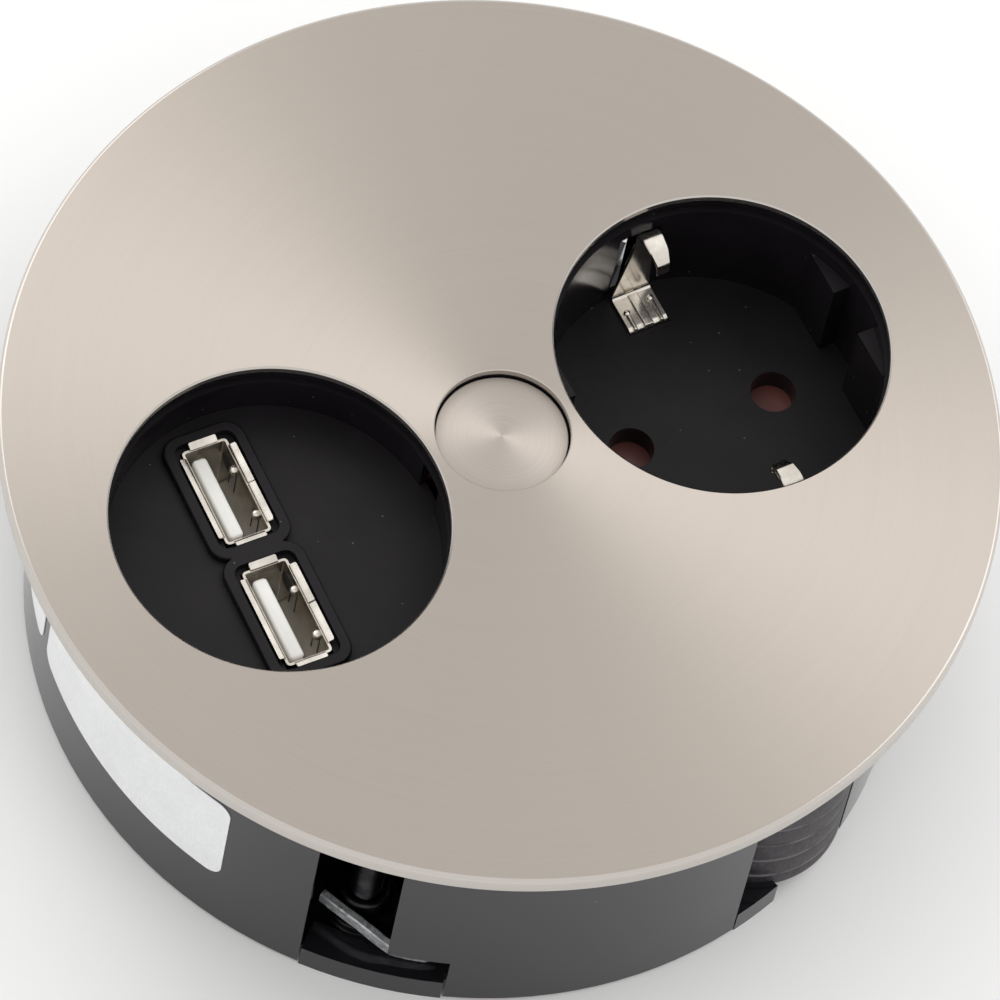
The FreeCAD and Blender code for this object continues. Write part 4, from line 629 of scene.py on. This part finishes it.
def bent_strip(path, widths, thickness, ease, shift=0.0):
    """Sheet metal along a path of (out, up) points, with a width and a sideways shift at each."""
    path = np.array(path, float)
    count = len(path)
    shifts = np.broadcast_to(shift, count)
    ways = np.gradient(path, axis=0)
    ways /= np.linalg.norm(ways, axis=1)[:, None]
    normals = np.stack([-ways[:, 1], ways[:, 0]], 1)
    half = thickness / 2
    section = [(1, half - ease, 0), (1, ease - half, 0), (1, -half, -ease), (-1, -half, -ease),
               (-1, ease - half, 0), (-1, half - ease, 0), (-1, half, -ease), (1, half, -ease)]
    points = []
    for spot, normal, width, moved_by in zip(path, normals, widths, shifts):
        for side, lift, inset in section:
            sideways = side * (width / 2 + inset) + moved_by
            out, up = spot + normal * lift
            points.append((out, sideways, up))
    size = len(section)
    faces = [(i * size + k, i * size + (k + 1) % size, (i + 1) * size + (k + 1) % size, (i + 1) * size + k)
             for i in range(count - 1) for k in range(size)]
    faces += [tuple(range(size))[::-1], tuple((count - 1) * size + k for k in range(size))]
    return points, faces


# Camera: the photograph's viewing angle, from a long way off
VIEW_AZIMUTH = -38.56
VIEW_HEIGHT = 60.33
VIEW_DISTANCE = 1194.3
VIEW_ROLL = -13.01
VIEW_TARGET = Vector((-4.58, -8.09, 2.6))
SENSOR = 36
FOCAL_PIXELS = 10380
PICTURE_PIXELS = 1000


def way_to(azimuth, height):
    """The direction from the socket to a camera or light: 0 is the front, and heights are over the floor."""
    a, e = math.radians(azimuth), math.radians(height)
    return Vector((math.sin(a) * math.cos(e), -math.cos(a) * math.cos(e), math.sin(e)))


def make_camera():
    back = way_to(VIEW_AZIMUTH, VIEW_HEIGHT)
    right = (-back).cross(Vector((0, 0, 1))).normalized()
    down = (-back).cross(right)
    c, s = math.cos(math.radians(VIEW_ROLL)), math.sin(math.radians(VIEW_ROLL))
    right, down = right * c + down * s, down * c - right * s
    data = bpy.data.cameras.new("photo_camera")
    data.sensor_width = SENSOR
    data.lens = FOCAL_PIXELS * SENSOR / PICTURE_PIXELS
    data.clip_end = 20
    camera = bpy.data.objects.new("photo_camera", data)
    bpy.context.scene.collection.objects.link(camera)
    turn = Matrix((right, -down, back)).transposed().to_4x4()
    camera.matrix_world = Matrix.Translation((VIEW_TARGET + back * VIEW_DISTANCE) * MM) @ turn
    bpy.context.scene.camera = camera


# Stage and light, in metres and watts
def make_stage():
    floor = Finish("floor_finish", roughness=0.6)
    floor.feed("Base Color", floor.colours(floor.noise(60, 2), (0.93, 0.93, 0.928), (0.95, 0.95, 0.948)))
    mesh = bpy.data.meshes.new("studio_floor")
    reach = 4.0
    mesh.from_pydata([(x, y, UNIT_BOTTOM * MM) for x, y in box(reach, reach)], [], [(0, 1, 2, 3)])
    mesh.materials.append(floor.material)
    made = bpy.data.objects.new("studio_floor", mesh)
    bpy.context.scene.collection.objects.link(made)


def softbox(name, azimuth, height, power, distance=1.3, width=0.9):
    """A square light that faces the socket."""
    data = bpy.data.lights.new(name, "AREA")
    data.shape = "SQUARE"
    data.size = width
    data.energy = power
    light = bpy.data.objects.new(name, data)
    bpy.context.scene.collection.objects.link(light)
    way = way_to(azimuth, height)
    light.location = way * distance
    light.rotation_euler = way.to_track_quat("Z", "Y").to_euler()


def make_light():
    world = bpy.data.worlds.new("studio_air")
    world.use_nodes = True
    air = next(n for n in world.node_tree.nodes if n.type == "BACKGROUND")
    air.inputs["Color"].default_value = (1.0, 0.995, 0.985, 1.0)
    air.inputs["Strength"].default_value = 1.0
    bpy.context.scene.world = world
    softbox("right_softbox", azimuth=91, height=45, power=2.6)
    softbox("back_softbox", azimuth=-173, height=40, power=2.8)
    bpy.context.scene.view_settings.view_transform = "Standard"


make_camera()
make_stage()
make_light()


# Cover plate: flat top with polished openings and a rolled rim, and the turned cap in its middle
def make_plate():
    points, faces = [], []

    def loop(outline, z):
        start = len(points)
        points.extend((x, y, z) for x, y in outline)
        return list(range(start, len(points)))

    def skin(loops):
        for a, b in zip(loops, loops[1:]):
            faces.extend((a[i], a[i - 1], b[i - 1], b[i]) for i in range(len(a)))

    def fill(loops):
        order = [i for indices in loops for i in indices]
        for corners in tessellate_polygon([[Vector(points[i]) for i in indices] for indices in loops]):
            faces.append(tuple(order[i] for i in corners))

    roll, inside, foot, chamfer = 0.6, PLATE_RADIUS - 1.0, 0.2, 0.15
    rim = [(inside, PLATE_TOP)]
    rim += [(PLATE_RADIUS - roll + roll * math.sin(a), PLATE_TOP - roll + roll * math.cos(a)) for a in bends(8)]
    rim += [(PLATE_RADIUS, foot + chamfer), (PLATE_RADIUS - chamfer, foot), (inside + chamfer, foot),
            (inside, foot + chamfer), (inside, PLATE_UNDER)]
    sides = [loop(ring(0, 0, radius, 360), z) for radius, z in rim]
    skin(sides)
    tops, unders = [sides[0]], [sides[-1]]
    for x, radius, bevel, steps in ((MAINS_X, WELL_OPENING, 0.2, 192), (CHARGER_X, WELL_OPENING, 0.2, 192),
                                    (0, CAP_OPENING, 0.12, 120)):
        walls = [loop(ring(x, 0, r, steps), z) for r, z in (
            (radius + bevel, PLATE_TOP), (radius, PLATE_TOP - bevel), (radius, PLATE_UNDER))]
        skin(walls)
        tops.append(walls[0])
        unders.append(walls[-1])
    fill(tops)
    fill(unders)
    piece("cover_plate_form", points, faces, "brushed_plate", "cover", sharp=30, stands_for=("cover_plate",))
    low, high = 0.82, 1.2
    cap = eased([(0, low), (CAP_RADIUS, low), (CAP_RADIUS, high), (0, high)], [0, 0.1, 0.16, 0], 4)
    piece("centre_cap_form", *spun(cap, 160), "polished_cap", stands_for=("centre_cap",))


make_plate()


# Charger ports: folded shells with flared lips, spring fingers and round-edged tongues
def lip(foot, side, half_long, split=False):
    """One flared leaf of a port's mouth, whole or as two leaves side by side."""
    flare, tip_up, gap, tip_share = 0.84, 0.34, 0.06, 0.8
    path = eased([(foot, PORT_MOUTH - 1.2), (foot, PORT_MOUTH + 0.1), (foot + flare * side, PORT_MOUTH + tip_up)],
                 0.4, 5, closed=False)
    near_tip = tuple(np.array(path[-2]) * (1 - tip_share) + np.array(path[-1]) * tip_share)
    path = path[:-1] + [near_tip, path[-1]]
    straight = len(path) - 1
    leaves = []
    for low, high in [(-half_long, -gap / 2), (gap / 2, half_long)] if split else [(-half_long, half_long)]:
        width, middle = high - low, (low + high) / 2
        leaves.append(bent_strip(path, [width] * straight + [width - 0.25], PORT_METAL, 0.08,
                                 shift=[middle] * straight + [middle * 0.96]))
    return joined(*leaves)


def make_port(number, end):
    half_x, half_y = PORT_HALF_X, PORT_HALF_Y
    y_here = PORT_Y + PORT_PITCH / 2 * end
    fingers = (half_y / 2, -half_y / 2)

    def place(point):
        return at_charger((point[0] + PORT_X, point[1] + y_here, point[2]))

    shell = sleeve(eased(box(half_x + PORT_METAL, half_y + PORT_METAL), 0.5), eased(box(half_x, half_y), 0.25),
                   PORT_BOTTOM, PORT_MOUTH)
    leaf_x, leaf_y = half_x + PORT_METAL / 2, half_y + PORT_METAL / 2
    lips = [lip(leaf_x, 1, 5.5, split=True), lip(-leaf_x, -1, 5.6),
            moved(lip(leaf_y, 1, 1.8), crossed), moved(lip(-leaf_y, -1, 2.0), crossed)]
    bump = spun(eased([(0, 0.62), (0.56, 0.5), (0.56, -0.5), (0, -0.62)], [0, 0.45, 0.45, 0], 5), 24)
    bumps = [shifted(bump, half_x - 0.02, y, PORT_MOUTH - 2.0) for y in fingers]
    piece(f"port_shell_{number}_form", *joined(shell, *lips, *bumps), "nickel", place=place,
          stands_for=(f"port_shell_{number}",))
    # Painted shade: thin dark slivers on the shell's inner face stand for the cuts beside each spring finger
    half_finger, half_cut = 0.75, 0.13
    cut_shade_slivers = []
    for middle in [finger + side * half_finger for finger in fingers for side in (-1, 1)]:
        cut_shade_slivers.append(soft_block((half_x - 0.03, half_x + 0.05), (middle - half_cut, middle + half_cut),
                               (PORT_MOUTH - 6.0, PORT_MOUTH - 1.6), 0.02, 0.02))
    piece(f"port_cut_shade_{number}", *joined(*cut_shade_slivers), "component_dark", place=place)
    # Painted shade: a thin dark disc on the shell wall stands for the shade inside a round hole
    hole = ring(half_y - 1.5, PORT_MOUTH - 2.9, 1.35, 32)
    hole_shade = moved(stacked([(hole, half_x - 0.03), (hole, half_x + 0.03)]), lambda p: (p[2], p[0], p[1]))
    piece(f"port_hole_shade_{number}", *hole_shade, "component_dark", place=place)
    play, base = 0.05, PORT_BOTTOM + 3
    tongue = joined(soft_block((-half_x + play, half_x - play), (-half_y + play, half_y - play), (PORT_BOTTOM, base),
                               0.2, 0.1),
                    soft_block((-1.95, -0.1), (-5.55, 5.55), (base - 0.1, PORT_MOUTH - 0.8), 0.5, 0.42))
    piece(f"port_tongue_{number}_form", *tongue, "tongue_white", place=place,
          stands_for=(f"port_tongue_{number}",))


for number, end in ((1, 1), (2, -1)):
    make_port(number, end)


# Earth contact: one folded strip with a curled nose and a ribbed tab at each side
def make_earth_contact():
    foot, floor, top = -25.35, MAINS_FLOOR + 0.24, -1.0
    leg, nose, blade = 13.83, 14.3, 18.95
    full_width, blade_taper, blade_lean = 5.3, 2.9, 0.55
    side = [(leg, foot), (leg, floor), (blade, floor), (blade, top - 3.2), (blade - 0.3, top - 0.5),
            (blade - 1.5, top), (15.9, top - 0.5), (14.5, top - 1.7), (nose, top - 3.1), (15.3, top - 4.0)]
    radii = [0, 0.6, 0.8, 1.4, 0.8, 1.2, 1.2, 1.0, 0.8, 0]
    path = np.array(eased(side, radii, 6, closed=False))
    out, up = path[:, 0], path[:, 1]
    risen = np.clip((up - floor) / (top - 2.6 - floor), 0, 1)
    on_blade = (out > blade - 0.6) & (up > floor + 0.1)
    curled = (up > top - 4.4) & (out < blade - 0.2)
    curl = [nose, 15.5, blade - 0.3]
    widths = np.where(on_blade, full_width - blade_taper * risen, full_width)
    widths = np.where(curled, np.interp(out, curl, [1.6, 2.3, 2.8]), widths)
    widths[-4:] = [1.5, 1.3, 0.9, 0.4]
    shifts = np.where(on_blade, blade_lean * risen, 0.0)
    shifts = np.where(curled, np.interp(out, curl, [0.5, 0.5, 0.38]), shifts)
    forms = [bent_strip(path, widths, 0.45, 0.12, shift=shifts)]
    # Pressed ribs on the tab: a wide one, and two narrow ones that end in a round knob
    knob = spun(eased([(0, 0.45), (0.42, 0.3), (0.42, 0), (0, 0)], [0, 0.2, 0, 0], 4), 20)
    for middle, width, start, stop, knobbed in ((0.0, 1.25, 13.75, 18.3, False), (-1.75, 0.5, 13.75, 16.3, True),
                                                (1.75, 0.5, 13.75, 17.1, True)):
        forms.append(soft_block((start, stop), (middle - width / 2, middle + width / 2), (floor + 0.15, floor + 0.52),
                                0.1, 0.12))
        if knobbed:
            forms.append(shifted(knob, stop - 0.1, middle, floor + 0.25))
    one_side = moved(joined(*forms), crossed)
    other_side = moved(one_side, lambda p: (p[0], -p[1], p[2]))
    bridge = moved(bent_strip([(-leg, foot), (leg, foot)], [full_width, full_width], 0.6, 0.1), crossed)
    piece("earth_contact_form", *joined(one_side, other_side, bridge), "nickel", place=at_mains,
          stands_for=("earth_contact",))
    # Trim that closes the slot the strip comes up through
    trims = []
    for end in (1, -1):
        for x, near, far in (((-2.95, 2.95), 12.95, 13.58), ((-2.95, -2.67), 13.5, 14.1), ((2.67, 2.95), 13.5, 14.1)):
            trims.append(soft_block(x, sorted((near * end, far * end)), (MAINS_FLOOR - 0.02, MAINS_FLOOR + 0.05),
                                    0.05, 0.03))
    piece("well_floor_trim", *joined(*trims), "matte_black", place=at_mains)


make_earth_contact()


# Claws: bent strips on nuts that climb long threaded screws
def make_claw(number):
    place = at_claw(number)
    claw_body, nut_body, screw_body = f"claw_{number}", f"claw_nut_{number}", f"claw_screw_{number}"
    line = [(2.2, -4.5), (3.2, -2.0), (4.15, 0.6), (4.8, 3.2), (4.95, 5.0), (4.8, 7.0), (4.45, 9.0), (4.0, 10.3)]
    path = np.array(eased(line, 8, 4, closed=False))
    stations = [-4.5, 0.6, 3.0, 5.0, 9.0, 10.3]
    tops = np.interp(path[:, 1], stations, [-31.3, -31.5, -32.4, -33.7, -34.0, -34.4])
    feet = np.interp(path[:, 1], stations, [-33.1, -33.4, -34.4, -35.6, -35.75, -35.0])
    strip = moved(bent_strip(path, tops - feet, 1.0, 0.16, shift=(tops + feet) / 2), lambda p: (p[0], p[2], p[1]))
    piece(f"claw_{number}_form", *strip, "galvanised", claw_body, place, stands_for=(f"claw_{number}",))
    low, high = -35.0, -33.9
    eye = spun(eased([(3.03, low), (4.3, low), (4.3, high), (3.03, high)], 0.15, 3), 48)
    plan = eased([(2.4, -3.9), (3.4, -2.5), (4.3, 2.0), (5.0, 6.0), (4.4, 7.2), (2.4, 4.2)], 0.5)
    piece(f"claw_{number}_foot", *joined(eye, stacked([(plan, low), (plan, high)])), "black_steel", claw_body, place)
    bore, hub, flange = 2.06, 2.95, 4.4
    nut_low, nut_high, step = -35.65, -30.65, -35.05
    nut = spun(eased([(bore, nut_low), (flange, nut_low), (flange, step), (hub, step), (hub, nut_high),
                      (bore, nut_high)], [0.1, 0.2, 0.1, 0.05, 0.4, 0.2], 4), 64)
    piece(f"claw_nut_{number}_form", *nut, "black_steel", nut_body, place, stands_for=(f"claw_nut_{number}",))
    # Screw: point, thread, and a head on a shank with the groove for its clip
    shaft = threaded(SCREW_RADIUS, 0.34, SCREW_PITCH, -36.3, -8.2)
    point = [(0, -36.6), (1.5, -36.6), (1.7, -35.5), (0, -35.5)]
    groove, head_radius, head_top = 1.6, 3.4, -1.5
    head = [(0, -8.3), (1.66, -8.3), (SCREW_RADIUS, -7.7), (SCREW_RADIUS, -7.15), (groove, -7.15), (groove, -6.65),
            (SCREW_RADIUS, -6.65), (SCREW_RADIUS, -3.6), (head_radius, -3.6), (head_radius, -2.1), (2.8, head_top),
            (0, head_top)]
    ends = [spun(eased(outline, 0.2, 3), 40) for outline in (point, head)]
    piece(f"claw_screw_{number}_form", *joined(shaft, *ends), "black_steel", screw_body, place,
          stands_for=(f"claw_screw_{number}",))
    # Painted shade: a thin dark cross laid on the head's top stands for the shaded cross recess
    long, short, depth = (-2.2, 2.2), (-0.4, 0.4), (head_top - 0.1, head_top + 0.01)
    cross = joined(soft_block(long, short, depth, 0.1, 0.02), soft_block(short, long, depth, 0.1, 0.02))
    piece(f"claw_drive_shade_{number}", *cross, "component_dark", screw_body, place)


for number in (1, 2):
    make_claw(number)


# Cord gland: soft rubber rings that stand a little proud of the wall, as photographed
def make_gland():
    bore, outer, inner = 4.0, 11.3, 11.0
    land, slope = 3.35, 0.1
    corners, radii = [(bore, GLAND_LOW)], [0.3]
    for level in range(GLAND_RINGS):
        start = GLAND_LOW + GLAND_RING_PITCH * level
        corners += [(outer, start), (outer, start + land), (inner, start + land + slope),
                    (inner, start + GLAND_RING_PITCH)]
        radii += [1.4 if level == 0 else 0.2, 0.12, 0.1, 0.1]
    corners.append((bore, GLAND_LOW + GLAND_RING_PITCH * GLAND_RINGS))
    radii.append(0.3)
    piece("cable_gland_form", *spun(eased(corners, radii, 5), 160), "gland_rubber", place=at_gland,
          stands_for=("cable_gland",))
    # Wall flap that closes the window beside the gland and laps over the wall's edge
    flap = arc(52.53, 301.2, 308.8) + arc(50.6, 308.8, 304.4)
    piece("gland_window_flap", *stacked([(flap, UNIT_BOTTOM + 0.05), (flap, -3.3)]), "gloss_black")


make_gland()


# Wires: round runs with soft bends, from the clamp and the terminal block to the contacts and the board
def make_wires():
    near_pin, far_pin = MAINS_X - PIN_REACH, MAINS_X + PIN_REACH
    low = CONTACT_RUN
    wires = {
        "earth_wire": ("wire_green", 1.15, [
            [(-1.5, -24, -18), (-1.5, -19, -18), (4, -15, -20), (12, -14.5, -26.9), (20.9, -17, -26.9),
             (27.9, -12.5, -26.9), (MAINS_X, -6, -26.9)]]),
        "neutral_wire": ("wire_blue", 1.15, [
            [(-8, -24, -18), (-8, -19.5, -18), (0, -17, -26), (8, -12, low), (near_pin, -9, low),
             (near_pin, -1.6, low)]]),
        "live_wire": ("wire_brown", 1.15, [
            [(-14.5, -24, -18), (-14.5, -20, -19), (-8, -18, -28), (2, -17, -34.9), (10, -15, low), (35.4, -12, low),
             (far_pin, -8, low), (far_pin, -1.6, low)]]),
        "charger_wires": ("wire_red", 0.8, [
            [(-23, 14, -20.6), (-23, 14, -26.6), (-14, 17, -29.5), (0, 15, -34.5), (12, 11, low), (near_pin, 7, low),
             (near_pin, 1.6, low)],
            [(-19, 15, -20.6), (-19, 15, -24.6), (-8, 20, -26.5), (8, 18, -33.5), (24, 15.5, low), (34.4, 12, low),
             (far_pin, 7, low), (far_pin, 1.6, low)]]),
    }
    for node, (finish, radius, routes) in wires.items():
        tube(f"{node}_form", routes, radius, finish, stands_for=(node,))


make_wires()
